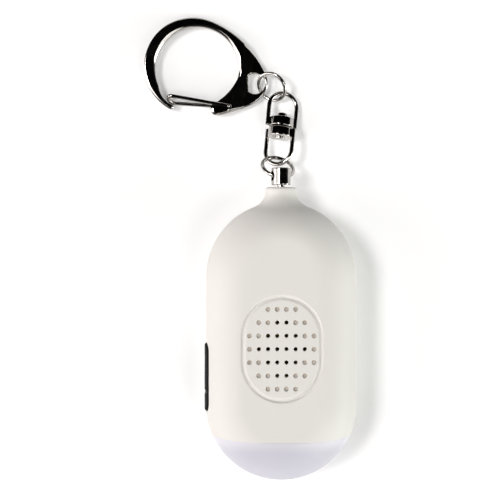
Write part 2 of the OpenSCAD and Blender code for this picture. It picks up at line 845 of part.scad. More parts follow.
// The swivel's own frame: +Y runs from the lower bow to the upper one
module swivel_frame(turn) {
    translate(swivel_at) rotate([0, 0, -swivel_heading]) rotate([-swivel_slope, 0, 0])
        rotate([0, turn, 0]) children();
}

// A bow of round wire with its barrel, from the gap between the barrels to its arch on +Y
module bow(r, l) {
    difference() {
        union() {
            for (s = [-1, 1]) rod_y([s * r, barrel_gap / 2, 0], l - r - barrel_gap / 2, bow_wire / 2);
            translate([0, l - r, 0]) rotate_extrude(angle = 180) translate([r, 0]) circle(bow_wire / 2);
            rod_y([0, barrel_gap / 2, 0], barrel_h, r - bow_wire / 2 + barrel_bite);
        }
        rod_y([0, 0, 0], barrel_h + barrel_gap, rivet_d / 2 + rivet_gap);
    }
}

module swivel_lower() {
    color("silver") swivel_frame(low_bow_turn) mirror([0, 1, 0]) bow(low_bow_r, low_bow_l);
}

module swivel_upper() {
    color("silver") swivel_frame(up_bow_turn) bow(up_bow_r, up_bow_l);
}

module swivel_rivet() {
    stack = barrel_gap / 2 + barrel_h;
    color("silver") swivel_frame(0) {
        rod_y([0, -stack - 0.3, 0], 2 * stack + 0.4, rivet_d / 2);
        rod_y([0, stack + 0.1, 0], rivet_head_h, rivet_head_d / 2);
        rod_y([0, -stack - 0.5, 0], 0.5, rivet_head_d / 2);
    }
}

module hook_ring() {
    color("silver") translate(hook_ring_at) rotate([0, 0, 180 - hook_ring_heading])
        rotate([-hook_ring_tilt, 0, 0]) wire_ring(hook_ring_r, hook_ring_wire);
}

// A bevelled disc, the plan of the hook at one of its two ends
module hook_disc(r) {
    translate([0, 0, -hook_t / 2]) {
        $fn = 96;
        cylinder(h = hook_bevel, r1 = r - hook_bevel, r2 = r);
        translate([0, 0, hook_bevel]) cylinder(h = hook_t - 2 * hook_bevel, r = r);
        translate([0, 0, hook_t - hook_bevel]) cylinder(h = hook_bevel, r1 = r, r2 = r - hook_bevel);
    }
}

// A round cutter with the bevel of the hook's edges at both faces
module bevel_cutter(at, r) {
    translate([at[0], at[1], 0]) {
        cylinder(h = hook_t + 2, r = r, center = true);
        for (s = [-1, 1]) scale([1, 1, s]) translate([0, 0, hook_t / 2 - hook_bevel])
            cylinder(h = hook_bevel + 0.5, r1 = r, r2 = r + hook_bevel + 0.5);
    }
}

// The opening of the hook: a circle that a wider one flattens beside the gate's root
module hook_hole() {
    intersection() {
        bevel_cutter([0, 0], hook_in_r);
        bevel_cutter(flat_shift * [cos(flat_heading), sin(flat_heading)], flat_r);
    }
}

module hook_eye() {
    translate([eye_x, 0, 0]) linear_extrude(hook_t + 2, center = true) intersection() {
        circle(d = eye_open);
        translate([-eye_flat, -eye_open]) square(2 * eye_open);
    }
}

// The faces thinned where the ring lies in the eye: a slope and a flat on each side
module eye_thinning() {
    drop = (hook_t - eye_t) / 2;
    run = 3;
    start = eye_x - eye_flat - run;
    for (s = [-1, 1]) scale([1, 1, s]) rotate([90, 0, 0]) linear_extrude(4 * eye_r, center = true)
        polygon([
            [start, hook_t / 2 + 1], [start, hook_t / 2 + 0.01], [start + run, hook_t / 2 - drop],
            [eye_x + 2 * eye_r, hook_t / 2 - drop], [eye_x + 2 * eye_r, hook_t / 2 + 1]
        ]);
}

// The throat between the nose and the gate's root, with the notch that the gate closes in
module hook_throat() {
    linear_extrude(hook_t + 2, center = true) polygon(hook_in_r * [
        [-0.77, -0.55], [-0.795, -0.673], [-0.644, -0.846], [-0.449, -0.964], [-0.332, -0.976],
        [-0.293, -1.024], [-0.315, -1.068], [-0.365, -1.094], [-0.42, -1.13], [-0.42, -1.46],
        [0.7, -1.46], [0.66, -0.985], [0.575, -0.925], [0.53, -0.83], [0.545, -0.741],
        [0.634, -0.654], [0.634, -0.195], [-0.77, -0.195]
    ]);
}

// The faces cut back where the legs of the gate lie and swing
module gate_thinning() {
    half = gate_wire / 2 + gate_clear + 0.1;
    reach_in = 0.65 * hook_in_r;
    front_leg = gate_front_end - gate_pivot;
    back_leg = gate_back_end - gate_pivot;
    swung_a = atan2(front_leg[1], front_leg[0]) - gate_swing - 4;
    shut_a = atan2(back_leg[1], back_leg[0]) + 1;
    swung = [cos(swung_a), sin(swung_a)];
    shut = [cos(shut_a), sin(shut_a)];
    for (s = [-1, 1]) scale([1, 1, s]) translate([0, 0, web_t / 2]) linear_extrude(hook_t)
        translate(gate_pivot) {
            circle(half + 0.2);
            polygon([
                half * [swung[1], -swung[0]], half * [swung[1], -swung[0]] + reach_in * swung,
                half * [-shut[1], shut[0]] + reach_in * shut, half * [-shut[1], shut[0]]
            ]);
        }
}

module hook_body() {
    color("silver") translate(hook_at) rotate([0, 0, hook_heading]) difference() {
        hull() {
            translate(hook_shift * [cos(band_heading), sin(band_heading), 0]) hook_disc(hook_out_r);
            translate([finger_at[0], finger_at[1], 0]) hook_disc(finger_r);
            for (p = flanks) translate([p[0], p[1], 0]) hook_disc(flank_r);
            translate([eye_x, 0, 0]) hook_disc(eye_r);
        }
        hook_hole();
        hook_eye();
        eye_thinning();
        hook_throat();
        gate_thinning();
        translate([gate_pivot[0], gate_pivot[1], 0])
            cylinder(h = hook_t + 2, r = gate_wire / 2 + gate_gap, center = true);
    }
}

// A closed tube swept along a list of points
function unit(v) = v / norm(v);
function tangents(p) = [for (i = [0 : len(p) - 1])
    unit(p[min(i + 1, len(p) - 1)] - p[max(i - 1, 0)])];
function side_of(t, ref) = unit(cross(t, ref));

module tube(p, d, ref, sides = 10) {
    n = len(p);
    t = tangents(p);
    points = [for (i = [0 : n - 1], k = [0 : sides - 1])
        let (u = side_of(t[i], ref), v = cross(t[i], u), a = 360 * k / sides)
            p[i] + d / 2 * (cos(a) * u + sin(a) * v)];
    ring_faces = [for (i = [0 : n - 2], k = [0 : sides - 1])
        let (a = i * sides + k, b = i * sides + (k + 1) % sides)
            each [[a, a + sides, b + sides], [a, b + sides, b]]];
    caps = [
        [for (k = [0 : sides - 1]) k],
        [for (k = [sides - 1 : -1 : 0]) (n - 1) * sides + k]
    ];
    polyhedron(points, concat(ring_faces, caps));
}

module hook_gate() {
    front = gate_front_end;
    back = gate_back_end;
    mid = (front + back) / 2;
    half = (front - back) / 2;
    loop = [for (a = [0 : 20 : 180])
        [mid[0] + half[0] * cos(a) - gate_bend * sin(a), mid[1] + half[1] * cos(a), gate_z * cos(a)]];
    path = concat([[gate_pivot[0], gate_pivot[1], gate_z]], loop, [[gate_pivot[0], gate_pivot[1], -gate_z]]);
    color("silver") translate(hook_at) rotate([0, 0, hook_heading]) {
        tube(path, gate_wire, [0, 1, 0]);
        for (s = [-1, 1]) scale([1, 1, s]) translate([gate_pivot[0], gate_pivot[1], 0.1])
            cylinder(h = gate_z + gate_wire / 2 - 0.1, d = gate_wire);
    }
}

front_shell();
rear_shell();
lamp_lens();
sounder_disc();
sounder_ceramic();
sounder_leads();
circuit_board();
control_chip();
boost_coil();
capacitor();
chip_parts();
usb_socket();
usb_tongue();
lamp_board();
lamp_leds();
battery_cell();
battery_pad();
battery_leads();
pin_switch();
switch_leaf();
housing_screws();
port_cover_anchor();
port_cover_flap();
pin_rod();
pin_cap();
pin_ring();
swivel_lower();
swivel_rivet();
swivel_upper();
hook_ring();
hook_body();
hook_gate();
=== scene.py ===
import bmesh
import bpy
import numpy as np
from mathutils.geometry import delaunay_2d_cdt
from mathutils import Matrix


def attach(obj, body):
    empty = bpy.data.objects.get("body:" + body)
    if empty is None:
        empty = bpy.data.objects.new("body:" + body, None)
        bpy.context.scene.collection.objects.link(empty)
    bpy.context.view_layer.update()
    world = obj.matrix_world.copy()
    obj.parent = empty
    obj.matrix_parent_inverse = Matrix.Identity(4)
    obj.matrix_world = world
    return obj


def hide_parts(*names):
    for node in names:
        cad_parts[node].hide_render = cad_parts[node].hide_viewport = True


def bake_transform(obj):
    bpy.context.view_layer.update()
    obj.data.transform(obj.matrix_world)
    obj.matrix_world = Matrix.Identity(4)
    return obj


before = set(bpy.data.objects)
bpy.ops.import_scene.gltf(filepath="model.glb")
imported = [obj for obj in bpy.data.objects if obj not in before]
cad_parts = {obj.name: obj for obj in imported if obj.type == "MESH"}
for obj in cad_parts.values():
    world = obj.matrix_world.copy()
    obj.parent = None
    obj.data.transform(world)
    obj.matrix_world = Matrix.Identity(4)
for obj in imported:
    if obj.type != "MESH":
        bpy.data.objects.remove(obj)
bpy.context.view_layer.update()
scene = bpy.context.scene
mm = 0.001  # shapes are worked out in millimetres and put into metres by meshOf
join = np.concatenate

# Camera: straight above the alarm as it lies on its back, the neck towards the top of the picture
photoView = dict(at=(-7.44, 21.72, 360), lens=105)
camera = bpy.data.objects.new("camera", bpy.data.cameras.new("camera"))
camera.location = np.array(photoView["at"]) * mm
camera.data.lens = photoView["lens"]
camera.data.clip_start = 0.01
scene.collection.objects.link(camera)
scene.camera = camera
scene.view_settings.view_transform = "Standard"
print("camera set")


# Meshes

def gridFaces(rows, cols, wrapRows=False, wrapCols=False):
    # four corners of every cell of a grid of points; a row or column that wraps is joined to the first
    i, j = np.meshgrid(np.arange(rows - (not wrapRows)), np.arange(cols - (not wrapCols)), indexing="ij")
    down, right = (i + 1) % rows, (j + 1) % cols
    return np.stack([i * cols + j, i * cols + right, down * cols + right, down * cols + j], -1).reshape(-1, 4)


def meshOf(name, parts, sharp=32):
    # parts are (points in mm, faces) pairs; doubled points are merged and the faces turned outwards
    starts = np.cumsum([0] + [p.size // 3 for p, f in parts])
    points = join([p.reshape(-1, 3) for p, f in parts]) * mm
    faces = [face for (p, f), start in zip(parts, starts) for face in (np.asarray(f) + start).tolist()]
    mesh = bpy.data.meshes.new(name)
    mesh.from_pydata(points.tolist(), [], faces)
    bm = bmesh.new()
    bm.from_mesh(mesh)
    bmesh.ops.remove_doubles(bm, verts=bm.verts, dist=1e-6)
    bmesh.ops.dissolve_degenerate(bm, edges=bm.edges, dist=1e-7)
    bmesh.ops.recalc_face_normals(bm, faces=bm.faces)
    bm.to_mesh(mesh)
    bm.free()
    mesh.shade_smooth()
    mesh.set_sharp_from_angle(angle=np.radians(sharp))
    return mesh


def newObject(name, parts, material, sharp=32):
    piece = bpy.data.objects.new(name, meshOf(name, parts, sharp))
    scene.collection.objects.link(piece)
    piece.data.materials.append(material)
    return piece


def addPiece(name, parts, body, nodes, material, sharp=32):
    piece = newObject(name, parts, material, sharp)
    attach(piece, body)
    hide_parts(*nodes)
    return piece


def cutAway(piece, parts, sharp=32):
    # the closed parts are taken out of the piece, and the result becomes its own mesh
    tool = bpy.data.objects.new("cutter", meshOf("cutter", parts))
    scene.collection.objects.link(tool)
    cut = piece.modifiers.new("cut", "BOOLEAN")
    cut.object, cut.solver, cut.operation = tool, "EXACT", "DIFFERENCE"
    whole = piece.data
    piece.data = bpy.data.meshes.new_from_object(piece.evaluated_get(bpy.context.evaluated_depsgraph_get()))
    piece.modifiers.clear()
    piece.data.name = whole.name
    bpy.data.objects.remove(tool)
    piece.data.shade_smooth()
    piece.data.set_sharp_from_angle(angle=np.radians(sharp))


def readOut(items, key, width=3, kind=np.float32):
    # one value or vector of every item, a row for each
    values = np.empty(len(items) * width, kind)
    items.foreach_get(key, values)
    return values.reshape(-1, width)


def skinNormals(piece, gap):
    # corners that lie on the smooth skin take its own slope, so that cut edges leave no smear in the shading
    mesh = piece.data
    step, nearSkin, sameWay = 1e-3, 0.004, 0.93  # mm, mm off the skin, cosine between a face and the skin
    corner, flat = readOut(mesh.corner_normals, "vector"), readOut(mesh.polygons, "normal")
    at = readOut(mesh.loops, "vertex_index", 1, np.int32)[:, 0]
    sides = readOut(mesh.polygons, "loop_total", 1, np.int32)[:, 0]
    p = readOut(mesh.vertices, "co").astype(float)[at] / mm
    slope = np.stack([gap(*(p + d).T) - gap(*(p - d).T) for d in np.eye(3) * step], -1)
    slope /= np.maximum(np.linalg.norm(slope, axis=1, keepdims=True), 1e-9)
    facing = (np.repeat(flat, sides, axis=0) * slope).sum(1)
    onSkin = (np.abs(gap(*p.T)) < nearSkin) & (facing > sameWay)
    corner[onSkin] = slope[onSkin]
    mesh.normals_split_custom_set(corner.tolist())


# Curves and surfaces

quarterTurn = np.linspace(0, np.pi / 2, 5)  # angles of the steps over a round edge
otherSide = np.array([1, 1, -1])  # an upper face times this is the lower one


def unit(v):
    return v / np.linalg.norm(v, axis=-1, keepdims=True)


def turned(axis, degrees):
    # turn about one of the three axes by the right-hand rule
    c, s = np.cos(np.radians(degrees)), np.sin(np.radians(degrees))
    i, j = {"x": (1, 2), "y": (2, 0), "z": (0, 1)}[axis]
    m = np.eye(3)
    m[i, i], m[i, j], m[j, i], m[j, j] = c, -s, s, c
    return m


def lengthAlong(points):
    # distance from the start of an open line to each of its points
    return join([[0], np.cumsum(np.linalg.norm(np.diff(points, axis=0), axis=1))])


def pickAlong(points, run, at):
    # the line's values at some distances along it
    return np.stack([np.interp(at, run, points[:, k]) for k in range(points.shape[1])], -1)


def evenRun(points, count):
    # the same open line with its points spaced evenly along it
    run = lengthAlong(points)
    return pickAlong(points, run, np.linspace(0, run[-1], count))


def evenLoop(points, count):
    # the same closed line with its points spaced evenly along it
    return evenRun(np.vstack([points, points[:1]]), count + 1)[:-1]


def softLoop(loop, passes):
    # each pass moves a point half way to the middle of its neighbours, which rounds the corners
    for step in range(passes):
        loop = loop / 2 + (np.roll(loop, 1, 0) + np.roll(loop, -1, 0)) / 4
    return loop


def softRun(line, passes):
    # the same for an open line, whose two ends stay in place
    for step in range(passes):
        line[1:-1] = line[1:-1] / 2 + (line[2:] + line[:-2]) / 4
    return line


def fullTurn(count):
    # angles in even steps once round
    return np.linspace(0, 2 * np.pi, count, endpoint=False)


def headings(a):
    # unit vectors in the plane at angles in radians
    return np.stack([np.cos(a), np.sin(a)], -1)


def furthest(discs, heading):
    # in each heading the disc (x, y, radius) that reaches furthest gives the point
    far = (discs[:, :2] @ heading.T + discs[:, 2:]).argmax(0)
    return discs[far, :2] + discs[far, 2:] * heading


def discHull(discs, count):
    # line round a set of discs
    return evenLoop(furthest(np.asarray(discs, float), headings(fullTurn(4 * count))), count)


def loopNormals(loop):
    # outward normal of a closed line that runs anticlockwise
    along = unit(np.roll(loop, -1, 0) - np.roll(loop, 1, 0))
    return np.stack([along[:, 1], -along[:, 0]], -1)


def easedProfile(corners, cuts, steps=5):
    # a profile of straight runs whose corners give way to short parabolas, each cut back by its own length
    corners = np.asarray(corners, float)
    t = np.linspace(0, 1, steps)[:, None]
    run = [corners[:1]]
    for before, at, after, cut in zip(corners, corners[1:], corners[2:], cuts):
        start, end = at + cut * unit(before - at), at + cut * unit(after - at)
        run.append((1 - t) ** 2 * start + 2 * t * (1 - t) * at + t ** 2 * end)
    return join(run + [corners[-1:]])


def rodProfile(r, start, end, cuts, steps=5):
    # half section of a rod between two places along it, both edges eased
    return easedProfile([(0, start), (r, start), (r, end), (0, end)], cuts, steps)


def revolve(profile, around, at, frameTurn=np.eye(3)):
    # profile (radius, height) carried round the local Z axis, then turned and set down at a point
    a = fullTurn(around)
    r, h = profile[:, 0, None], profile[:, 1, None]
    points = np.stack([r * np.cos(a), r * np.sin(a), h + 0 * a], -1)
    return points @ frameTurn.T + at, gridFaces(len(profile), around, wrapCols=True)


def drill(r, half, around, at, frameTurn=np.eye(3)):
    # plain round block for cutting a hole, reaching as far to each side of a point
    return revolve(np.array([(0, -half), (r, -half), (r, half), (0, half)], float), around, at, frameTurn)


def prism(loop, low, high):
    # closed block with a flat outline between two levels
    middle = loop.mean(0) + 0 * loop
    shape = np.stack([middle, loop, loop, middle])
    level = np.array([low, low, high, high], float)[:, None, None] + 0 * shape[..., :1]
    return join([shape, level], -1), gridFaces(4, len(loop), wrapCols=True)


def carryWire(path, radius, across, around, edge, spacing=0.3):
    # round wire: a circle square to the path at even steps, drawn in at both ends by a small round edge
    run = lengthAlong(path)
    start, shrink = edge * (1 - np.cos(quarterTurn)), edge * (1 - np.sin(quarterTurn))
    main = np.linspace(edge, run[-1] - edge, max(int(run[-1] / spacing), 8))[1:-1]
    s = join([[0], start, main, run[-1] - start[::-1], [run[-1]]])
    r = join([[0], radius - shrink, radius + 0 * main, radius - shrink[::-1], [0]])
    along = unit(pickAlong(unit(np.gradient(path, axis=0)), run, s))
    side = unit(np.cross(along, across))
    top = np.cross(side, along)
    a = fullTurn(around)[None, :, None]
    spread = r[:, None, None] * (np.cos(a) * side[:, None] + np.sin(a) * top[:, None])
    return pickAlong(path, run, s)[:, None] + spread, gridFaces(len(s), around, wrapCols=True)


def fillPlan(loops, inner):
    # triangles between an outer line and the lines inside it, with extra points where the face bends
    points = join(list(loops) + [inner])
    starts = np.cumsum([0] + [len(loop) for loop in loops])
    rings = [list(range(a, b)) for a, b in zip(starts, starts[1:])]
    made = delaunay_2d_cdt([tuple(p) for p in points.tolist()], [], rings, 0, 1e-7)
    kept = [f for f, of in zip(made[2], made[5]) if list(of) == [0]]
    return np.array([tuple(v) for v in made[0]]), np.array(kept)


# Materials

def linear(colour):
    # sRGB hex to the linear values that the shader takes
    c = np.array([int(colour[k:k + 2], 16) for k in (1, 3, 5)]) / 255
    return tuple(np.where(c <= 0.04045, c / 12.92, ((c + 0.055) / 1.055) ** 2.4)) + (1.0,)


def setNode(tree, node, settings={}, sockets={}, links={}):
    for key, value in settings.items():
        setattr(node, key, value)
    for key, value in sockets.items():
        node.inputs[key].default_value = value
    for key, source in links.items():
        tree.links.new(source, node.inputs[key])
    return node


def addNode(tree, kind, settings={}, sockets={}, links={}):
    return setNode(tree, tree.nodes.new("ShaderNode" + kind), settings, sockets, links)


def smoothStep(tree, value, low, high, start=0.0, end=1.0):
    # an eased change from one level to another while the value goes from low to high
    sockets = {"From Min": low, "From Max": high, "To Min": start, "To Max": end}
    settings = {"interpolation_type": "SMOOTHSTEP"}
    return addNode(tree, "MapRange", settings, sockets, {"Value": value}).outputs["Result"]


def makeFinish(name, colours, patch, grain, gloss, depth, sockets={}, stretch=(1, 1, 1)):
    # two close colours in soft patches, and a fine grain that moves the gloss and the bump
    # patch and grain are sizes in mm, gloss is the span of roughness, depth is the height of the grain in mm
    material = bpy.data.materials.new(name)
    material.use_nodes = True
    tree = material.node_tree
    place = addNode(tree, "TexCoord").outputs["Object"]
    drawn = addNode(tree, "Mapping", {}, {"Scale": stretch}, {"Vector": place}).outputs["Vector"]
    cloud = addNode(tree, "TexNoise", {}, {"Scale": 1000 / patch, "Detail": 3.0}, {"Vector": drawn})
    fine = addNode(tree, "TexNoise", {}, {"Scale": 1000 / grain, "Detail": 2.0}, {"Vector": drawn})
    tint = addNode(tree, "Mix", {"data_type": "RGBA"},
                   {6: linear(colours[0]), 7: linear(colours[1])}, {"Factor": cloud.outputs["Fac"]})
    span = {"From Min": 0.3, "From Max": 0.7, "To Min": gloss[0], "To Max": gloss[1]}
    sheen = addNode(tree, "MapRange", {}, span, {"Value": fine.outputs["Fac"]})
    relief = {"Strength": 1.0, "Distance": depth * mm}
    bump = addNode(tree, "Bump", {}, relief, {"Height": fine.outputs["Fac"]})
    setNode(tree, tree.nodes["Principled BSDF"], {}, sockets,
            {"Base Color": tint.outputs[2], "Roughness": sheen.outputs[0], "Normal": bump.outputs[0]})
    return material


def paintLightBySeam(material, colour, low, high):
    # painted light: a lighter tone beside the lens seam, standing in for the lens being better lit there than
    # towards its tip; none at the low place along the body, full at the high one
    tree = material.node_tree
    base = tree.nodes["Principled BSDF"].inputs["Base Color"]
    place = addNode(tree, "TexCoord").outputs["Object"]
    along = addNode(tree, "SeparateXYZ", {}, {}, {0: place}).outputs["Y"]
    paintedLight = addNode(tree, "Mix", {"data_type": "RGBA"}, {7: linear(colour)},
                    {"Factor": smoothStep(tree, along, low * mm, high * mm), 6: base.links[0].from_socket})
    tree.links.new(paintedLight.outputs[2], base)


metal = {"Metallic": 1.0}
# ABS, moulded in a finely blasted tool: warm off-white with a satin gloss and a faint grain
absMoulded = makeFinish(
    "abs_moulded_satin", ("#E9E7E2", "#E5E2DD"), 14, 0.35, (0.5, 0.6), 0.004, {"IOR": 1.5})
# ABS, quite matt and greyer by painted shade: the darker tone stands in for the shade inside the blind
# dimples, on the discs in their floors
absPaintedShade = makeFinish("abs_moulded_eroded", ("#C6BDB3", "#BEB5AB"), 4, 0.12, (0.7, 0.8), 0.01, {"IOR": 1.5})
# Polycarbonate with diffuser, moulded: milky, cool and a little smoother than the shells
polycarbonateMilky = makeFinish(
    "polycarbonate_diffuser_moulded", ("#D0CFD9", "#C9C8D3"), 11, 0.5, (0.34, 0.42), 0.002, {"IOR": 1.58})
# painted light: the lens lighter beside the seam and darker towards its tip
paintLightBySeam(polycarbonateMilky, "#E0DEE6", -26.2, -23.2)
# Silicone rubber, moulded: near black and matt, with a dusty grain
siliconeMoulded = makeFinish("silicone_moulded_black", ("#060608", "#0A0A0D"), 3, 0.12, (0.55, 0.68), 0.006,
                             {"IOR": 1.41, "Specular IOR Level": 0.2})
# Zinc alloy, die cast, polished and nickel plated: a mirror with slight waves left by the polishing wheel
nickelOnZinc = makeFinish(
    "zinc_cast_nickel_plated", ("#BFBCB8", "#B6B3AF"), 6, 2.5, (0.05, 0.1), 0.004, metal)
# Steel wire, drawn, bent and nickel plated: bright, with a fine unevenness left by the drawing
nickelOnWire = makeFinish(
    "steel_wire_nickel_plated", ("#BBB8B4", "#AFACA9"), 4, 0.6, (0.06, 0.12), 0.002, metal)
# Steel rod, turned and nickel plated: bright with fine rings square to the length of the pin
nickelOnTurned = makeFinish(
    "steel_turned_nickel_plated", ("#BFBCB8", "#B3B0AC"), 4, 0.5, (0.06, 0.12), 0.003, metal, (0.15, 1, 0.15))
# Brass sheet, stamped: a brown yellow gone dull with age, for the sounder's plate and the switch's leaf
brassStamped = makeFinish("brass_stamped", ("#8C7038", "#77602F"), 3, 0.3, (0.34, 0.46), 0.003, metal)
# Piezo ceramic, silvered and fired: pale grey and chalky
ceramicFired = makeFinish("piezo_ceramic_silvered", ("#C9C8C4", "#B4B2AD"), 2, 0.2, (0.45, 0.6), 0.004)
# Fibreglass laminate under solder mask: deep green with a glassy film over the weave
laminateMasked = makeFinish(
    "fibreglass_solder_mask", ("#0E4A2C", "#145636"), 5, 0.6, (0.22, 0.34), 0.006, {"IOR": 1.55})
# Epoxy, transfer moulded: charcoal and evenly matt
epoxyMoulded = makeFinish("epoxy_moulded_black", ("#1B1B1D", "#242427"), 2, 0.1, (0.5, 0.66), 0.004)
# Ferrite, pressed and sintered: dark grey with a stony grain
ferriteSintered = makeFinish("ferrite_sintered", ("#2B2A2B", "#383637"), 1, 0.15, (0.55, 0.7), 0.01)
# Shrink sleeve over an aluminium can: dark blue and glossy
sleeveShrunk = makeFinish("pvc_sleeve_shrunk", ("#16233F", "#1C2C4C"), 3, 0.8, (0.2, 0.32), 0.004)
# Clear epoxy, cast over a phosphor: warm yellow and glossy
resinCast = makeFinish("epoxy_cast_phosphor", ("#E9DC9A", "#DDCB7C"), 1, 0.3, (0.12, 0.2), 0.002)
# Aluminium laminate foil, heat sealed: silver grey, slightly crumpled
foilSealed = makeFinish(
    "aluminium_laminate_foil", ("#BDBEC0", "#A9AAAD"), 6, 2.0, (0.25, 0.4), 0.03, {"Metallic": 0.9})
# Polyurethane foam, sliced: grey and open celled
foamSliced = makeFinish("polyurethane_foam_sliced", ("#5A5A5C", "#3E3E40"), 0.8, 0.4, (0.8, 0.95), 0.08)
# Wire jacket, extruded: red with a soft gloss
jacketExtruded = makeFinish("pvc_jacket_extruded", ("#A3201E", "#8E1917"), 3, 0.3, (0.3, 0.45), 0.003)
# Steel sheet, stamped and tinned: grey with streaks from rolling
steelTinned = makeFinish(
    "steel_stamped_tinned", ("#A9A9AB", "#98989B"), 3, 0.4, (0.25, 0.4), 0.003, metal, (1, 0.12, 1))
innerFinish = dict(
    sounder_disc=brassStamped, sounder_ceramic=ceramicFired, sounder_leads=jacketExtruded,
    circuit_board=laminateMasked, control_chip=epoxyMoulded, boost_coil=ferriteSintered,
    capacitor=sleeveShrunk, chip_parts=ceramicFired, usb_socket=steelTinned,
    usb_tongue=epoxyMoulded, lamp_board=laminateMasked, lamp_leds=resinCast,
    battery_cell=foilSealed, battery_pad=foamSliced, battery_leads=jacketExtruded,
    pin_switch=epoxyMoulded, switch_leaf=brassStamped)
for node, finish in innerFinish.items():
    bpy.data.objects[node].data.materials.clear()
    bpy.data.objects[node].data.materials.append(finish)
print("inner pieces finished")


# Housing: the skin of the body is the flat plate inside it, grown by the radius of its edges

bodyForm = dict(
    halfW=18.0, endY=15.25, edgeR=9.5, midZ=10.0, sideFlat=1.0, wall=1.8, seamY=-22.85,
    seamEdge=0.07, bow=0.45, bowReach=8.0, partW=0.2, partD=0.25, partEdge=0.12, partTurn=5.5,
    neckR=3.85, neckTop=36.75, neckFrom=34.75, rimR=0.7, flareR=2.6, flareY=(31.8, 34.6),
    boreR=0.98, boreEdge=0.22)


def roundedGap(out, up, r):
    # distance to the corner between two limits, less a radius: below nought inside
    return np.hypot(np.maximum(out, 0), np.maximum(up, 0)) + np.minimum(np.maximum(out, up), 0) - r


def pillGap(x, y, z, inset=0.0):
    # distance to the plate, less the radius of the edge: below nought inside the body
    b = bodyForm
    plan = np.hypot(x, y - np.clip(y, -b["endY"], b["endY"])) - (b["halfW"] - b["edgeR"])
    rise = np.abs(z - b["midZ"]) - b["sideFlat"] / 2
    return roundedGap(plan, rise, b["edgeR"]) + inset


def skinGap(x, y, z):
    # body and neck with a round hollow between them
    b, k = bodyForm, bodyForm["flareR"]
    out = np.hypot(x, z - b["midZ"]) - (b["neckR"] - b["rimR"])
    neck = roundedGap(out, y - (b["neckTop"] - b["rimR"]), b["rimR"])
    pill = pillGap(x, y, z)
    return np.maximum(k, np.minimum(pill, neck)) - np.hypot(np.maximum(k - pill, 0), np.maximum(k - neck, 0))


def reachOf(gap, y, turn):
    # how far the skin is from the long axis at a place along it and a turn round it, found by halving
    near, far = np.zeros(np.broadcast(y, turn).shape), np.full(np.broadcast(y, turn).shape, 30.0)
    for step in range(44):
        r = (near + far) / 2
        inside = gap(r * np.cos(turn), y, bodyForm["midZ"] + r * np.sin(turn)) < 0
        near, far = np.where(inside, r, near), np.where(inside, far, r)
    return near


def bowed(y, z):
    # the lens seam bows towards the lamp end on the faces and away from it at the sides, fading with distance
    b = bodyForm
    rise = (z - b["midZ"]) / (b["sideFlat"] / 2 + b["edgeR"])
    fade = np.maximum(1 - ((y - b["seamY"]) / b["bowReach"]) ** 2, 0) ** 2
    return y + b["bow"] * (1 - 2 * rise ** 2) * fade


def halfShell(side):
    # rows run from the lens seam to the rim of the neck
    # each row is a closed line: outer skin, parting edge, inner wall
    b, t = bodyForm, quarterTurn
    straight = np.linspace(b["seamY"] + 0.5, b["endY"], 40)
    shoulder = b["endY"] + b["halfW"] * np.sin(np.radians(np.arange(2, 66.1, 2)))
    neck = np.linspace(b["neckFrom"], b["neckTop"] - b["rimR"] - 0.1, 6)
    yMain = join([straight, shoulder, np.linspace(*b["flareY"], 29), neck])
    y = join([b["seamY"] + b["seamEdge"] * (1 - np.cos(t)), yMain,
              b["neckTop"] - b["rimR"] + b["rimR"] * np.sin(t)])[:, None]
    drawnIn = join([b["seamEdge"] * (1 - np.sin(t)), 0 * yMain,
                    b["rimR"] * (1 - np.cos(t))])[:, None]
    yFlat = np.minimum(y, b["neckTop"] - b["rimR"] - 1e-3)
    wide, high = reachOf(skinGap, yFlat, 0 * y), reachOf(skinGap, yFlat, 0 * y + np.pi / 2)
    s = np.radians(np.linspace(b["partTurn"], 180 - b["partTurn"], 97))[None]
    turn = np.arctan2(high * np.sin(s), wide * np.cos(s))
    yOuter = bowed(yFlat, b["midZ"] + reachOf(skinGap, yFlat, turn) * np.sin(turn))
    yEdge = bowed(yFlat, b["midZ"])
    outer = reachOf(skinGap, yOuter, turn) - drawnIn
    edge = reachOf(skinGap, yEdge, 0 * y) - drawnIn
    cavity = lambda *p: pillGap(*p, b["wall"])
    yInner, yInnerEdge = y + yOuter - yFlat, y + yEdge - yFlat
    inner = np.maximum(reachOf(cavity, yInner, turn), b["boreR"])
    innerEdge = np.maximum(reachOf(cavity, yInnerEdge, 0 * y), b["boreR"])
    inner[-1], innerEdge[-1] = b["boreR"] + b["boreEdge"], b["boreR"] + b["boreEdge"]
    yOuter, yEdge = yOuter + y - yFlat, yEdge + y - yFlat
    yInner[-2], yInnerEdge[-2] = b["neckTop"] - b["boreEdge"], b["neckTop"] - b["boreEdge"]
    k = b["partEdge"] * (1 - np.sin(np.radians(45)))
    lipIn, lipUp = np.array([(b["partD"], 0), (b["partD"], b["partW"] / 2), (b["partEdge"], b["partW"] / 2),
                             (k, b["partW"] / 2 + k), (0, b["partW"] / 2 + b["partEdge"])]).T[:, None]
    x = join([edge - lipIn, outer * np.cos(turn), -(edge - lipIn[:, ::-1]), -innerEdge,
              (inner * np.cos(turn))[:, ::-1], innerEdge], 1)
    rise = join([lipUp + 0 * edge, outer * np.sin(turn), lipUp[:, ::-1] + 0 * edge, 0 * edge,
                 (inner * np.sin(turn))[:, ::-1], 0 * edge], 1)
    yLip = np.repeat(yEdge, lipIn.size, 1)
    yAll = join([yLip, yOuter, yLip, yInnerEdge, yInner[:, ::-1], yInnerEdge], 1)
    points = np.stack([x, yAll, b["midZ"] + side * rise], -1)
    rows, cols = x.shape
    faces = gridFaces(rows, cols, wrapCols=True).tolist()
    out = np.arange(s.size + 2 * lipIn.size)  # end faces join outer points to the inner ones behind them
    behind = cols - 1 - np.clip(out - lipIn.size + 1, 0, s.size + 1)
    for first in (0, (rows - 1) * cols):
        quads = np.stack([out[:-1], out[1:], behind[1:], behind[:-1]], -1) + first
        twice = behind[1:] == behind[:-1]
        faces += quads[~twice].tolist() + quads[twice][:, :3].tolist()
    return points, faces


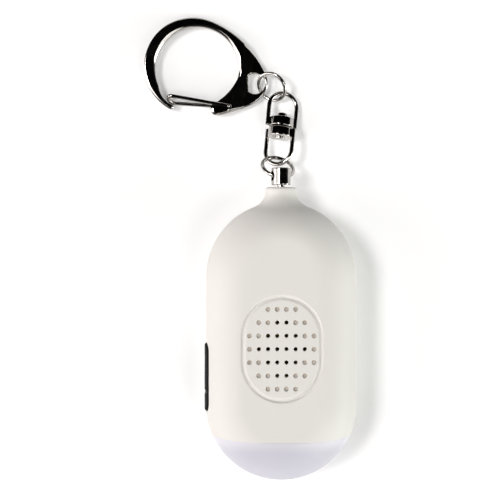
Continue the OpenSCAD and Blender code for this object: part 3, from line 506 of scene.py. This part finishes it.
def meshParts(points, faces):
    # quads and triangles of one set of points as parts that meshOf can join
    sets = [np.array([f for f in faces if len(f) == sides]) for sides in (4, 3)]
    return [(points, chosen) for chosen in sets if len(chosen)]


frontSkin = addPiece("front_shell_skin", meshParts(*halfShell(1)), "housing", ["front_shell"],
                     absMoulded)
rearSkin = addPiece("rear_shell_skin", meshParts(*halfShell(-1)), "housing", ["rear_shell"],
                    absMoulded)
print("shells drawn")

# Grille: round holes with eased rims, the middle ones open and the rest blind, inside a slot-shaped groove
grille = dict(
    y=-1.4, pitchX=2.15, pitchY=3.1, rows=((4, 0), (6, 2), (8, 4), (8, 6), (8, 4), (6, 2), (4, 0)),
    holeR=0.475, through=2.6, dimpleR=0.55, dimpleDepth=0.9, rim=0.12, face=20.0, above=0.5,
    width=19.3, length=25.3, grooveW=1.2, grooveD=0.4,
    dish=((0, -0.52), (0.4, -0.52), (0.56, -0.4), (0.6, -0.46), (0.5, -0.8), (0, -0.8)),
    dishEase=(0.12, 0.02, 0.02, 0.1))


def grillePlaces(blind):
    # middles of the holes of one kind: an even net, with the open ones in the middle of each row
    g = grille
    places = []
    for i, (total, through) in enumerate(g["rows"]):
        up = len(g["rows"]) // 2 - i
        for across in np.arange(total) - (total - 1) / 2:
            if (abs(across) < through / 2) != blind:
                places.append((across * g["pitchX"], g["y"] + up * g["pitchY"], g["face"]))
    return places


def holeProfile(r, deep, floorEase):
    # half section of a hole with an eased rim, carried on above the face so that it cuts cleanly
    wide, above = r + grille["rim"], grille["above"]
    corners = [(0, -deep), (r, -deep), (r, 0), (wide, 0), (wide, above), (0, above)]
    return easedProfile(corners, (floorEase, grille["rim"], 0.01, 0.05))


def grilleHoles():
    through = holeProfile(grille["holeR"], grille["through"], 0.05)
    blind = holeProfile(grille["dimpleR"], grille["dimpleDepth"], 0.12)
    return ([revolve(through, 36, at) for at in grillePlaces(False)]
            + [revolve(blind, 36, at) for at in grillePlaces(True)])


def grilleGroove():
    # a shallow channel with an easy inner slope and a steep outer wall, carried round the slot-shaped line
    g, b = grille, bodyForm
    mid, run = g["width"] / 2 - g["grooveW"] / 2, g["length"] - g["width"]
    line = discHull([(0, g["y"] + run / 2, mid), (0, g["y"] - run / 2, mid)], 360)
    half, deep, above = g["grooveW"] / 2, g["grooveD"], g["above"]
    inside, outside = -half - 0.3, half + 0.2  # the cut reaches this far over the face
    section = easedProfile([(inside, above), (inside, 0.0), (-half, 0.0), (-0.1 * half, -deep),
                            (0.45 * half, -deep), (half, 0.0), (outside, 0.0), (outside, above)],
                           (0.01, 0.16, 0.14, 0.14, 0.12, 0.01))
    plan = line[:, None] + section[None, :, :1] * loopNormals(line)[:, None]
    past = np.maximum(np.abs(plan[..., :1]) - b["halfW"] + b["edgeR"], 0)
    drop = b["edgeR"] - np.sqrt(b["edgeR"] ** 2 - past ** 2)  # the face falls off towards the sides
    points = join([plan, g["face"] + section[None, :, 1:] - drop], -1)
    return points, gridFaces(len(line), len(section), True, True)


# Port cover: a silicone strip in a pocket of the left side, a fixed end and a flap on a living hinge
cover = dict(
    y=-8.6, length=16.2, width=8.0, corner=2.0, proud=0.33, depth=1.15, hingeY=-12.1, slit=0.3,
    edge=0.5, cornerEase=6, stemR=0.95, stemX=(-17.3, -15.45), stemBack=2.3,
    webHalf=0.3, webWide=3.88, webTop=0.18, webLow=-0.4, usbY=-6.3, usbL=9.4, usbW=3.7,
    usbX=(-17.4, -12),
    # outset, lift and share of the size, from above the pocket down its wall and across its floor
    pocket=((0.32, 0.8, 0), (0.32, 0.8, 0.5), (0.32, 0.8, 1), (0.32, 0.0, 1), (0.24, -0.04, 1),
            (0.2, -0.12, 1), (0.2, -1.2, 1), (0.16, -1.3, 1), (0.05, -1.35, 1), (0, -1.35, 0.8),
            (0, -1.35, 0.6), (0, -1.35, 0.4), (0, -1.35, 0.2), (0, -1.35, 0)))


def sideX(y, z, lift):
    # the left side of the body, lifted off it: straight along the middle and round towards the lens
    b = bodyForm
    rise = np.maximum(np.abs(z - b["midZ"]) - b["sideFlat"] / 2, 0)
    plan = b["halfW"] - b["edgeR"] + np.sqrt((b["edgeR"] + lift) ** 2 - rise ** 2)
    return -np.sqrt(plan ** 2 - (y - np.clip(y, -b["endY"], b["endY"])) ** 2)


def padSurface(loop, levels):
    # closed pad on the left side: the line round it at a row of levels (outset, lift, share of its size)
    outset, lift, share = np.asarray(levels, float).T[:, :, None, None]
    middle = (loop.max(0) + loop.min(0)) / 2
    flat = middle + (loop + outset * loopNormals(loop) - middle) * share
    x = sideX(flat[..., 0], flat[..., 1], lift[..., 0])
    return join([x[..., None], flat], -1), gridFaces(len(levels), len(loop), wrapCols=True)


cornerL, cornerW = cover["length"] / 2 - cover["corner"], cover["width"] / 2 - cover["corner"]
pocketLoop = discHull([(cover["y"] + s * cornerL, bodyForm["midZ"] + u * cornerW, cover["corner"])
                       for s in (-1, 1) for u in (-1, 1)], 160)
usbLoop = discHull([(cover["usbY"] + s * (cover["usbL"] - cover["usbW"]) / 2, bodyForm["midZ"],
                     cover["usbW"] / 2) for s in (-1, 1)], 96)
usbBlock, usbFaces = prism(usbLoop, *cover["usbX"])
sideCuts = [padSurface(pocketLoop, cover["pocket"])]
usbCut = [(usbBlock[..., [2, 0, 1]], usbFaces)]  # the block lies across the body

# Screws: four in deep round seats in the back, with a post behind each
screws = dict(
    at=((-9.4655, 22.1271), (9.4655, 22.1271), (-11.6359, -16.473), (11.6359, -16.473)),
    seatR=2.0, seatZ=2.2, holeR=1.2, holeTop=6, rim=0.2, sleeveR=2.28, sleeveZ=(1.79, 2.5),
    slack=0.02, postR=3.0, postTop=7.2, headR=1.8, headH=1.3, shankR=1.0, shankL=12.0,
    crossR=1.15, crossHalf=0.22,
    crossLevels=((0.5, 0), (0.5, 1.1), (0.9, 1.1), (1.75, 0.62), (1.75, 0)))


def screwSeat(at):
    # what is cut from the back: an eased rim, the seat of the head and the hole for the shank
    s = screws
    wide = s["seatR"] + s["rim"]
    corners = [(0, -1), (wide, -1), (wide, 0), (s["seatR"], 0), (s["seatR"], s["seatZ"]),
               (s["holeR"], s["seatZ"]), (s["holeR"], s["holeTop"]), (0, s["holeTop"])]
    return revolve(easedProfile(corners, (0.05, 0.01, s["rim"], 0.05, 0.05, 0.05)), 48, (*at, 0))


def screwPost(at):
    # sleeve round the seat and post round the hole, as one closed line
    s = screws
    inner, (low, step) = s["seatR"] + s["slack"], s["sleeveZ"]
    line = [(inner, low), (s["sleeveR"], low), (s["sleeveR"], step), (s["postR"], step),
            (s["postR"], s["postTop"]), (s["holeR"], s["postTop"]), (s["holeR"], s["seatZ"]),
            (inner, s["seatZ"]), (inner, low)]
    return revolve(np.array(line), 48, (*at, 0))


for cuts in (grilleHoles(), [grilleGroove()], sideCuts, usbCut):
    cutAway(frontSkin, cuts)
for cuts in ([screwSeat(p) for p in screws["at"]], sideCuts, usbCut):
    cutAway(rearSkin, cuts)
skinNormals(frontSkin, skinGap)
skinNormals(rearSkin, skinGap)
# discs in the floors of the blind dimples, coloured with painted shade
dish = easedProfile(grille["dish"], grille["dishEase"])
addPiece("grille_dimple_floors", [revolve(dish, 36, at) for at in grillePlaces(True)], "housing", [],
         absPaintedShade)
addPiece("screw_posts", [screwPost(p) for p in screws["at"]], "housing", [], absMoulded)
print("grille, pocket and screw seats cut")


def crossScrew(at):
    s = screws
    head, end = s["seatZ"] - s["headH"], s["seatZ"] + s["shankL"]
    corners = [(0, head), (s["headR"], head), (s["headR"], s["seatZ"]), (s["shankR"], s["seatZ"]),
               (s["shankR"], end), (0, end)]
    return revolve(easedProfile(corners, (0.5, 0.12, 0.1, 0.4)), 48, (*at, 0))


def crossRecess(at):
    # four-armed star that narrows with depth, as one line at a row of levels (height, share of its size)
    a = fullTurn(96)
    near = np.minimum(np.abs(np.sin(a)), np.abs(np.cos(a)))
    arm = screws["crossHalf"] / np.maximum(near, screws["crossHalf"] / screws["crossR"])
    levels = np.array(screws["crossLevels"])
    r = levels[:, 1, None] * arm
    points = np.stack([at[0] + r * np.cos(a), at[1] + r * np.sin(a), levels[:, :1] + 0 * a], -1)
    return points, gridFaces(len(levels), len(a), wrapCols=True)


screwPiece = addPiece("housing_screws_turned", [crossScrew(p) for p in screws["at"]], "housing",
                      ["housing_screws"], nickelOnTurned)
cutAway(screwPiece, [crossRecess(p) for p in screws["at"]])

# Lens: outer skin from the tip to the seam, a step in to the lip, and the inner wall back to the tip
lens = dict(wall=2.0, lipIn=1.92, lipL=2.6, lipT=1.2, lipEase=0.2, edge=0.07)


def lensSkin():
    # rows of places along the body with the inset of the skin there, each carried once round the long axis
    b, l, t = bodyForm, lens, quarterTurn
    tipTurn = join([[90, 89.5, 89], np.arange(88, 26, -1.5)])
    tip = -b["endY"] - b["halfW"] * np.sin(np.radians(tipTurn))
    outerY = join([tip, b["seamY"] - l["edge"] * (1 - np.sin(t))])
    drawnIn = join([0 * tip, l["edge"] * (1 - np.cos(t))])
    lipTop, lipWall = b["seamY"] + l["lipL"], l["lipIn"] + l["lipT"]
    lipY = [b["seamY"], lipTop - l["lipEase"], lipTop, lipTop, b["seamY"] - l["lipT"]]
    lipInset = [l["lipIn"], l["lipIn"], l["lipIn"] + l["lipEase"], lipWall, lipWall]
    wallTurn = join([np.arange(32, 89, 3), [89.5, 90]])
    innerY = -b["endY"] - (b["halfW"] - l["wall"]) * np.sin(np.radians(wallTurn))
    y = join([outerY, lipY, innerY])[:, None]
    inset = join([drawnIn, lipInset, l["wall"] + 0 * innerY])[:, None]
    gap = lambda *p: pillGap(*p, inset)
    wide, high = reachOf(gap, y, 0 * y), reachOf(gap, y, 0 * y + np.pi / 2)
    s = fullTurn(192)[None]
    turn = np.arctan2(np.maximum(high, 1e-4) * np.sin(s), np.maximum(wide, 1e-4) * np.cos(s))
    yBowed = bowed(y, b["midZ"] + reachOf(gap, y, turn) * np.sin(turn))
    r = reachOf(gap, yBowed, turn)
    points = np.stack([r * np.cos(turn), yBowed, b["midZ"] + r * np.sin(turn)], -1)
    return points, gridFaces(*r.shape, wrapCols=True)


addPiece("lamp_lens_skin", [lensSkin()], "housing", ["lamp_lens"], polycarbonateMilky)
print("lens drawn")


def coverPad(loop):
    # a pad with a round upper edge and a small one below, each face closed from its middle
    e, top, low = cover["edge"], cover["proud"], -cover["depth"]
    levels = [(-e, top, share) for share in (0, 0.3, 0.6, 0.85)]
    levels += [(-e * (1 - np.sin(k)), top - e * (1 - np.cos(k)), 1) for k in quarterTurn]
    levels += [(0, low + 0.15, 1), (-0.05, low + 0.05, 1)]
    levels += [(-0.15, low, share) for share in (1, 0.6, 0)]
    return padSurface(loop, levels)


def coverEnd(keep, slitEdge, count):
    # the strip's line on one side of the hinge slit, with eased corners
    y = keep(pocketLoop[:, :1], slitEdge)
    return softLoop(evenLoop(join([y, pocketLoop[:, 1:]], 1), count), cover["cornerEase"])


flapLoop = coverEnd(np.maximum, cover["hingeY"] + cover["slit"] / 2, 200)
anchorLoop = coverEnd(np.minimum, cover["hingeY"] - cover["slit"] / 2, 160)
stem = revolve(rodProfile(cover["stemR"], *cover["stemX"], (0.05, 0.2)), 32,
               (0, cover["hingeY"] - cover["stemBack"], bodyForm["midZ"]), turned("y", 90))
addPiece("port_cover_fixed_end", [coverPad(anchorLoop), stem], "housing", ["port_cover_anchor"],
         siliconeMoulded)
addPiece("port_cover_flap_pad", [coverPad(flapLoop)], "port_cover", ["port_cover_flap"],
         siliconeMoulded)
# the web is thin and lies in the slit just under the pads
webLoop = evenLoop(np.array([(cover["hingeY"] + s * cover["webHalf"], bodyForm["midZ"] + u * cover["webWide"])
                             for s, u in ((-1, -1), (1, -1), (1, 1), (-1, 1))]), 120)
webLevels = [(0, cover["webTop"], share) for share in (0, 0.5, 1)]
webLevels += [(0, cover["webLow"], share) for share in (1, 0.5, 0)]
web = newObject("port_cover_web", [padSurface(webLoop, webLevels)], siliconeMoulded)
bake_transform(web)
print("port cover drawn")

# Pull pin: a turned pin pressed into a turned cap with a cross hole for the ring
pin = dict(axisZ=10.0, r=0.9, tipR=0.6, tipL=0.6, tipY=18.75, topY=38.0, grooveY=23.95, grooveR=0.7,
           grooveHalf=0.6, capY=37.25, capL=4.2, capR=2.35, bevel=0.3, capTurn=18, eyeY=39.45, eyeR=1.2)
alongY = turned("x", -90)  # local Z runs along the body
onAxis = (0, 0, pin["axisZ"])


def pinProfile():
    # half section: a tapered tip, a shallow groove and a plain shank that ends inside the cap
    p = pin
    low, high = p["grooveY"] - p["grooveHalf"], p["grooveY"] + p["grooveHalf"]
    corners = [(0, p["tipY"]), (p["tipR"], p["tipY"]), (p["r"], p["tipY"] + p["tipL"]), (p["r"], low),
               (p["grooveR"], low), (p["grooveR"], high), (p["r"], high), (p["r"], p["topY"]), (0, p["topY"])]
    return easedProfile(corners, (0.1, 0.2, 0.04, 0.04, 0.04, 0.04, 0.05))


addPiece("pull_pin_turned", [revolve(pinProfile(), 48, onAxis, alongY)], "pull_pin", ["pin_rod"],
         nickelOnTurned)
capProfile = rodProfile(pin["capR"], pin["capY"], pin["capY"] + pin["capL"], (pin["bevel"], pin["bevel"]), 7)
capPiece = addPiece("pull_pin_cap_turned", [revolve(capProfile, 96, onAxis, alongY)], "pull_pin", ["pin_cap"],
                    nickelOnTurned)
crossTurn = turned("y", 90 + pin["capTurn"])
cutAway(capPiece, [drill(pin["eyeR"], 4, 64, (0, pin["eyeY"], pin["axisZ"]), crossTurn)])
skinNormals(capPiece, lambda x, y, z: np.hypot(x, z - pin["axisZ"]) - pin["capR"])

# Rings: drawn wire bent round until its two cut ends nearly meet
rings = dict(
    slit=0.15,
    pinRing=dict(at=(-0.724191, 41.6956, 7.5174), r=3.85, wire=0.95,
                 turn=turned("y", 18) @ turned("z", -2) @ turned("x", -49) @ turned("z", 30)),
    hookRing=dict(at=(-2.1217, 61.686, 2.89), r=3.6, wire=0.9,
                  turn=turned("z", 137) @ turned("x", -41.5971)))


def wireRing(ring):
    # circle in its own plane that starts and ends at the slit on local +Y
    slit = rings["slit"] / 2 / ring["r"]
    a = np.pi / 2 + np.linspace(slit, 2 * np.pi - slit, 181)
    path = np.stack([ring["r"] * np.cos(a), ring["r"] * np.sin(a), 0 * a], -1) @ ring["turn"].T
    return carryWire(path + ring["at"], ring["wire"] / 2, ring["turn"][:, 2], 28, 0.1)


addPiece("pull_pin_ring_wire", [wireRing(rings["pinRing"])], "pin_ring", ["pin_ring"],
         nickelOnWire)
addPiece("hook_ring_wire", [wireRing(rings["hookRing"])], "hook_ring", ["hook_ring"],
         nickelOnWire)

# Swivel: two bows of wire with a barrel each, held together by a rivet so that they turn on each other
swivel = dict(
    at=(0.100618, 51.5326, 3.45084), heading=6, slope=11, wire=1.1, gap=0.4, barrelH=2.2, bite=0.1,
    lower=dict(turn=-26, r=3.45, length=9.15, up=-1), upper=dict(turn=15, r=3.5, length=8.85, up=1),
    rivetR=0.8, headR=1.2, headH=1.2, underH=0.5, seat=0.05)
swivelTurn = turned("z", -swivel["heading"]) @ turned("x", -swivel["slope"])


def wireBow(half):
    # legs and half circle of one bow as a path, and the barrel between its legs
    s = swivel
    own = swivelTurn @ turned("y", half["turn"])
    a = np.linspace(np.pi, 0, 60)
    top = half["length"] - half["r"]
    leg = np.linspace(s["gap"] / 2, top, 24)[:-1]
    x = join([0 * leg - half["r"], half["r"] * np.cos(a), 0 * leg + half["r"]])
    y = join([leg, top + half["r"] * np.sin(a), leg[::-1]]) * half["up"]
    path = np.stack([x, y, 0 * x], -1) @ own.T + s["at"]
    barrelR = half["r"] - s["wire"] / 2 + s["bite"]
    barrel = rodProfile(barrelR, s["gap"] / 2, s["gap"] / 2 + s["barrelH"], (0.2, 0.25), 6)
    spin = own @ turned("x", -90 * half["up"])
    return [carryWire(path, s["wire"] / 2, own[:, 2], 28, 0.12), revolve(barrel, 72, s["at"], spin)]


def rivetProfile():
    # half section: a low head under the lower barrel, the shank, and a taller head on the upper barrel
    s = swivel
    stack = s["gap"] / 2 + s["barrelH"]
    under, top = -stack - s["underH"], stack + 0.1 + s["headH"]
    low, high = s["seat"] - stack, s["seat"] + stack
    corners = [(0, under), (s["headR"], under), (s["headR"], low), (s["rivetR"], low),
               (s["rivetR"], high), (s["headR"], high), (s["headR"], top), (0, top)]
    return easedProfile(corners, (0.3, 0.05, 0.05, 0.05, 0.05, 0.3))


addPiece("swivel_lower_bow", wireBow(swivel["lower"]), "swivel_lower", ["swivel_lower"],
         nickelOnWire)
addPiece("swivel_rivet_turned", [revolve(rivetProfile(), 48, swivel["at"], swivelTurn @ alongY)],
         "swivel_lower", ["swivel_rivet"], nickelOnTurned)
addPiece("swivel_upper_bow", wireBow(swivel["upper"]), "swivel_upper", ["swivel_upper"],
         nickelOnWire)
print("rings and swivel drawn")

# Hook: a cast band round the opening that runs out into a flat tail with the eye, bevelled all round
hook = dict(
    at=(-20.41, 66.0533, 1.8), heading=-14, inR=10.25, outR=12.05, shift=1.25, bandHeading=160,
    flatR=13.8375, flatShift=4.51, flatHeading=138, thick=3.6, bevel=0.72, bevelShare=0.36,
    slim=0.55, slimWay=(115, 240), slimRun=(25, 48), slimEase=150,
    eyeX=14.6, eyeR=3.5, eyeOpen=2.5, eyeFlat=1.6, eyeFlatTurn=14, eyeThick=1.0, eyeBevel=0.3,
    slopeX=(10.0, 13.0), slopeEase=0.35, flankR=3.0,
    flanks=((5.033, 8.087), (8.354, 6.427), (11.152, 4.336), (13.735, -2.645), (10.968, -4.51)),
    finger=(7.79, -7.995), fingerR=1.7, rimFrom=-75.8, rimTo=256.9, rimEase=500, cornerEase=22,
    holeFrom=220.3, holeTo=-45.9,
    noseEnd=((-3.86, -11.29), (-3.23, -10.95), (-3.0, -10.5), (-3.4, -10.0), (-4.6, -9.86),
             (-5.6, -9.42), (-6.75, -8.5), (-7.5, -7.5), (-7.9, -6.98)),
    rootEnd=((6.5, -6.703), (5.586, -7.595), (5.433, -8.508), (5.894, -9.481), (6.62, -10.0)),
    webHalf=0.63, pivot=(9.8605, -6.9085), pocketHalf=0.72, pocketReach=6.66, pocketFrom=151.93,
    pocketTo=190.44, hole=0.56)
hookTurn = turned("z", hook["heading"])


def headingPoint(degrees, r):
    return r * headings(np.radians(degrees))


def hookOutline(count=1200):
    # outside round the discs from the root to the nose, in round the nose, then back along the opening
    h = hook
    band = (*headingPoint(h["bandHeading"], h["shift"]), h["outR"])
    discs = np.array([band, (*h["finger"], h["fingerR"]), (h["eyeX"], 0, h["eyeR"])]
                     + [(*p, h["flankR"]) for p in h["flanks"]])
    around = headings(np.radians(np.linspace(h["rimFrom"], h["rimTo"], 3000)))
    outside = softRun(evenRun(furthest(discs, around), 700), h["rimEase"])
    heading = headings(np.radians(np.linspace(h["holeFrom"], h["holeTo"], 1500)))
    off = headingPoint(h["flatHeading"], h["flatShift"])
    along = heading @ off
    r = np.minimum(h["inR"], along + np.sqrt(along ** 2 - off @ off + h["flatR"] ** 2))
    loop = join([outside, h["noseEnd"], r[:, None] * heading, h["rootEnd"]])
    return softLoop(evenLoop(loop, count), h["cornerEase"])


def bandWidth(loop, out, skip=20, aisle=0.15, most=9):
    # distance straight in from each point of the line to the far side of the metal, its neighbours left out
    away = loop[None] - loop[:, None]
    inward = -(away * out[:, None]).sum(-1)
    aside = np.abs(away[..., 0] * out[:, None, 1] - away[..., 1] * out[:, None, 0])
    apart = np.abs(np.arange(len(loop))[None] - np.arange(len(loop))[:, None])
    apart = np.minimum(apart, len(loop) - apart)
    return np.where((inward > aisle) & (aside < aisle) & (apart > skip), inward, most).min(1)


def hookHalfThick(x):
    # full thickness over the band, then an even slope with eased ends down to the thin tail round the eye
    h = hook
    near = np.asarray(x)[..., None] + np.linspace(-1, 1, 9) * h["slopeEase"]
    t = np.clip((near - h["slopeX"][0]) / (h["slopeX"][1] - h["slopeX"][0]), 0, 1).mean(-1)
    return h["thick"] / 2 + (h["eyeThick"] - h["thick"]) / 2 * t


def bevelledEdge(loop, out, bevel):
    # the line at rows from the lower face round to the upper one: eased bevel, wall, eased bevel
    # the bevel is one long facet that short steps lead into and out of
    lean = np.radians([8, 22, 35, 40, 48, 65, 82])
    length = np.array([0.1, 0.1, 0.1, 0.62, 0.1, 0.1, 0.1])
    run, drop = np.cumsum(length * np.cos(lean)), np.cumsum(length * np.sin(lean))
    inset = join([[1.06, 1.0], 1 - run / run[-1]])
    fall = join([[0, 0], drop / run[-1]])
    plan = loop[None] - out[None] * (inset[:, None] * bevel[None])[..., None]
    z = hookHalfThick(plan[..., 0]) - fall[:, None] * bevel[None]
    upper = join([plan, z[..., None]], -1)
    rows = join([upper * otherSide, upper[::-1]])
    return rows, gridFaces(len(rows), len(loop), wrapCols=True), plan[0]


def nearestTo(points, line):
    # distance from each point to the nearest one of a line
    return np.linalg.norm(points[:, None] - line[None], axis=-1).min(1)


def hookBevel(line, out):
    # width of the bevel along the outline: held back by a slim band and a thin tail, and slim on the left
    h = hook
    bevel = np.minimum(h["bevel"], h["bevelShare"] * bandWidth(line, out))
    half = hookHalfThick(line[:, 0] - 0.3)
    upper = np.clip(line[:, 1] / 2 + 0.5, 0, 1)
    nearlySharp = 0.1 + 0.19 * half ** 2  # along the upper edge of the tail
    bevel = np.minimum(bevel, (1 - upper) * 0.62 * half + upper * nearlySharp)
    facing = np.degrees(np.arctan2(out[:, 1], out[:, 0])) % 360
    start, end = (facing - h["slimWay"][0]) / h["slimRun"][0], (h["slimWay"][1] - facing) / h["slimRun"][1]
    left = ((line * out).sum(1) > 0) * np.clip(start, 0, 1) * np.clip(end, 0, 1)
    return softLoop((bevel * (1 - h["slim"] * left))[:, None], h["slimEase"])[:, 0]


def eyeOutline(count=260):
    # a round hole cut short by a flat, with eased corners
    h = hook
    eye, flat = discHull([(0, 0, h["eyeOpen"])], count), headingPoint(h["eyeFlatTurn"], 1)
    eye = eye + np.maximum(-h["eyeFlat"] - eye @ flat, 0)[:, None] * flat
    return softLoop(evenLoop(eye, count), 12) + (h["eyeX"], 0)


def hookParts():
    # bevelled edges round the outside and the eye, and the two faces between them
    line, eye = hookOutline(), eyeOutline()
    out = loopNormals(line)
    outerRows, outerFaces, outerTop = bevelledEdge(line, out, hookBevel(line, out))
    eyeRows, eyeFaces, eyeTop = bevelledEdge(eye, -loopNormals(eye), hook["eyeBevel"] + 0 * eye[:, 0])
    gx, gy = np.meshgrid(np.arange(9.6, 13.6, 0.25), np.arange(-8, 8.01, 0.5))  # where the face slopes
    inner = np.stack([gx.ravel(), gy.ravel()], -1)
    near = np.minimum(nearestTo(inner, outerTop), nearestTo(inner, eyeTop))
    plan, tris = fillPlan([outerTop, eyeTop], inner[near > 0.15])
    upper = np.column_stack([plan, hookHalfThick(plan[:, 0])])
    return [(outerRows, outerFaces), (eyeRows, eyeFaces), (upper, tris), (upper * otherSide, tris[:, ::-1])]


def inHook(points):
    return points @ hookTurn.T + hook["at"]


def pocketOutline():
    # the room that the gate's root takes up from shut to swung in, as a line round its corners
    h = hook
    swung, shut = headingPoint(h["pocketFrom"], 1), headingPoint(h["pocketTo"], 1)
    before = h["pocketHalf"] * np.array([swung[1], -swung[0]])
    after = h["pocketHalf"] * np.array([-shut[1], shut[0]])
    reach = h["pocketReach"]
    corners = np.array([before, before + reach * swung, after + reach * shut, after]) + h["pivot"]
    return discHull([(*h["pivot"], h["pocketHalf"] + 0.2)] + [(*c, 0.01) for c in corners], 120)


hookSharp = 28  # edges that turn by more than this many degrees stay crisp
hookPiece = addPiece("hook_cast", [(inHook(p), f) for p, f in hookParts()], "hook", ["hook_body"],
                     nickelOnZinc, hookSharp)
pocket = pocketOutline()
hookCuts = [prism(pocket, side * hook["webHalf"], side * 3) for side in (-1, 1)]
hookCuts.append(drill(hook["hole"], 3, 40, (*hook["pivot"], 0)))
for points, faces in hookCuts:
    cutAway(hookPiece, [(inHook(points), faces)], hookSharp)
print("hook drawn")

# Gate: one sprung wire, up out of the pivot, along to the nose, round it and back
gate = dict(front=(-4.602, -7.903), back=(-3.9, -9.35), bend=0.9, z=1.25, root=0.1, wire=1.0, ease=42)


def gatePath():
    # even points along straight runs and one half turn, eased until the bends are round
    g = gate
    front, back, root = np.array(g["front"]), np.array(g["back"]), np.array(hook["pivot"])
    a = np.linspace(0, np.pi, 40)[:, None]
    mid, half = (front + back) / 2, (front - back) / 2
    plan = mid + half * np.cos(a) - np.array([g["bend"], 0]) * np.sin(a)
    turn = join([plan, g["z"] * np.cos(a)], 1)
    path = np.array([[*root, g["root"]], [*root, g["z"]], *turn, [*root, -g["z"]], [*root, -g["root"]]])
    return softRun(evenRun(path, 400), g["ease"])


across = hookTurn @ np.array([0, 1.0, 0])
addPiece("hook_gate_wire", [carryWire(inHook(gatePath()), gate["wire"] / 2, across, 24, 0.1, 0.2)],
         "gate", ["hook_gate"], nickelOnWire)
print("gate drawn")

# Stage: a pale floor, a low haze and soft lamps, with dark between them for the plated faces to mirror
floorForm = dict(half=900, below=0.02, glow=0.25)
# White paper, matt: it glows a little to the camera and in mirrors, but sheds no light by that
floorPaper = bpy.data.materials.new("paper_white_matt")
floorPaper.use_nodes = True
tree = floorPaper.node_tree
tree.nodes.clear()
rays = addNode(tree, "LightPath").outputs
seen = rays["Is Camera Ray"]
for kind in ("Is Glossy Ray", "Is Transmission Ray"):
    seen = addNode(tree, "Math", {"operation": "MAXIMUM"}, {}, {0: seen, 1: rays[kind]}).outputs[0]
lift = addNode(tree, "Math", {"operation": "MULTIPLY"}, {1: floorForm["glow"]}, {0: seen})
paper = addNode(tree, "BsdfDiffuse", {}, {"Color": linear("#F2F2F2")})
glow = addNode(tree, "Emission", {}, {"Color": linear("#FFFFFF")}, {"Strength": lift.outputs[0]})
both = addNode(tree, "AddShader", {}, {}, {0: paper.outputs[0], 1: glow.outputs[0]})
addNode(tree, "OutputMaterial", {}, {}, {"Surface": both.outputs[0]})
corners = np.array([(-1, -1, 0), (1, -1, 0), (1, 1, 0), (-1, 1, 0)], float) * floorForm["half"]
floor = newObject("floor", [(corners - (0, 0, floorForm["below"]), [[0, 1, 2, 3]])], floorPaper)

world = bpy.data.worlds.new("studio")
world.use_nodes = True
scene.world = world
tree = world.node_tree
tree.nodes.clear()
# soft round lamps far away: heading, half width and softness in degrees, brightness, tint
lamps = dict(
    left=((-0.864, -0.248, 0.438), 18, 5, 3.5, "#FFF8F8"),
    leftLow=((-0.985, -0.12, 0.12), 14, 5, 3.0, "#FFF8F8"),
    lowRight=((0.623, -0.668, 0.407), 19, 6, 1.7, "#FFFEFC"),
    right=((0.946, -0.307, 0.105), 14, 5, 9.5, "#FCFFFB"),
    above=((-0.46, 0.07, 0.885), 7, 2.5, 27.0, "#FFFEFD"),
    leftHigh=((-0.487, -0.329, 0.809), 9, 3, 2.6, "#FFFCFB"),
    rightHigh=((0.406, -0.341, 0.848), 9, 3, 6.5, "#FFFFFC"))
way = addNode(tree, "TexCoord").outputs["Generated"]
part = addNode(tree, "SeparateXYZ", {}, {}, {0: way}).outputs
# a dim haze near the horizon, fainter on the side of the hook
low = smoothStep(tree, part["Z"], 0.0, 0.4, 0.3, 0.005)
near = smoothStep(tree, part["Y"], -0.25, 0.25, 1.0, 0.06)
haze = addNode(tree, "Math", {"operation": "MULTIPLY"}, {}, {0: low, 1: near})
glowing = addNode(tree, "Background", {}, {"Color": (1, 1, 1, 1)}, {"Strength": haze.outputs[0]})
for heading, half, soft, strength, tintOf in lamps.values():
    toLamp = addNode(tree, "VectorMath", {"operation": "DOT_PRODUCT"},
                     {1: tuple(unit(np.array(heading)))}, {0: way}).outputs["Value"]
    rim, core = np.cos(np.radians(half + soft)), np.cos(np.radians(half - soft))
    disc = smoothStep(tree, toLamp, rim, core, 0.0, strength)
    lamp = addNode(tree, "Background", {}, {"Color": linear(tintOf)}, {"Strength": disc})
    glowing = addNode(tree, "AddShader", {}, {}, {0: glowing.outputs[0], 1: lamp.outputs[0]})
addNode(tree, "OutputWorld", {}, {}, {"Surface": glowing.outputs[0]})
print("stage set")
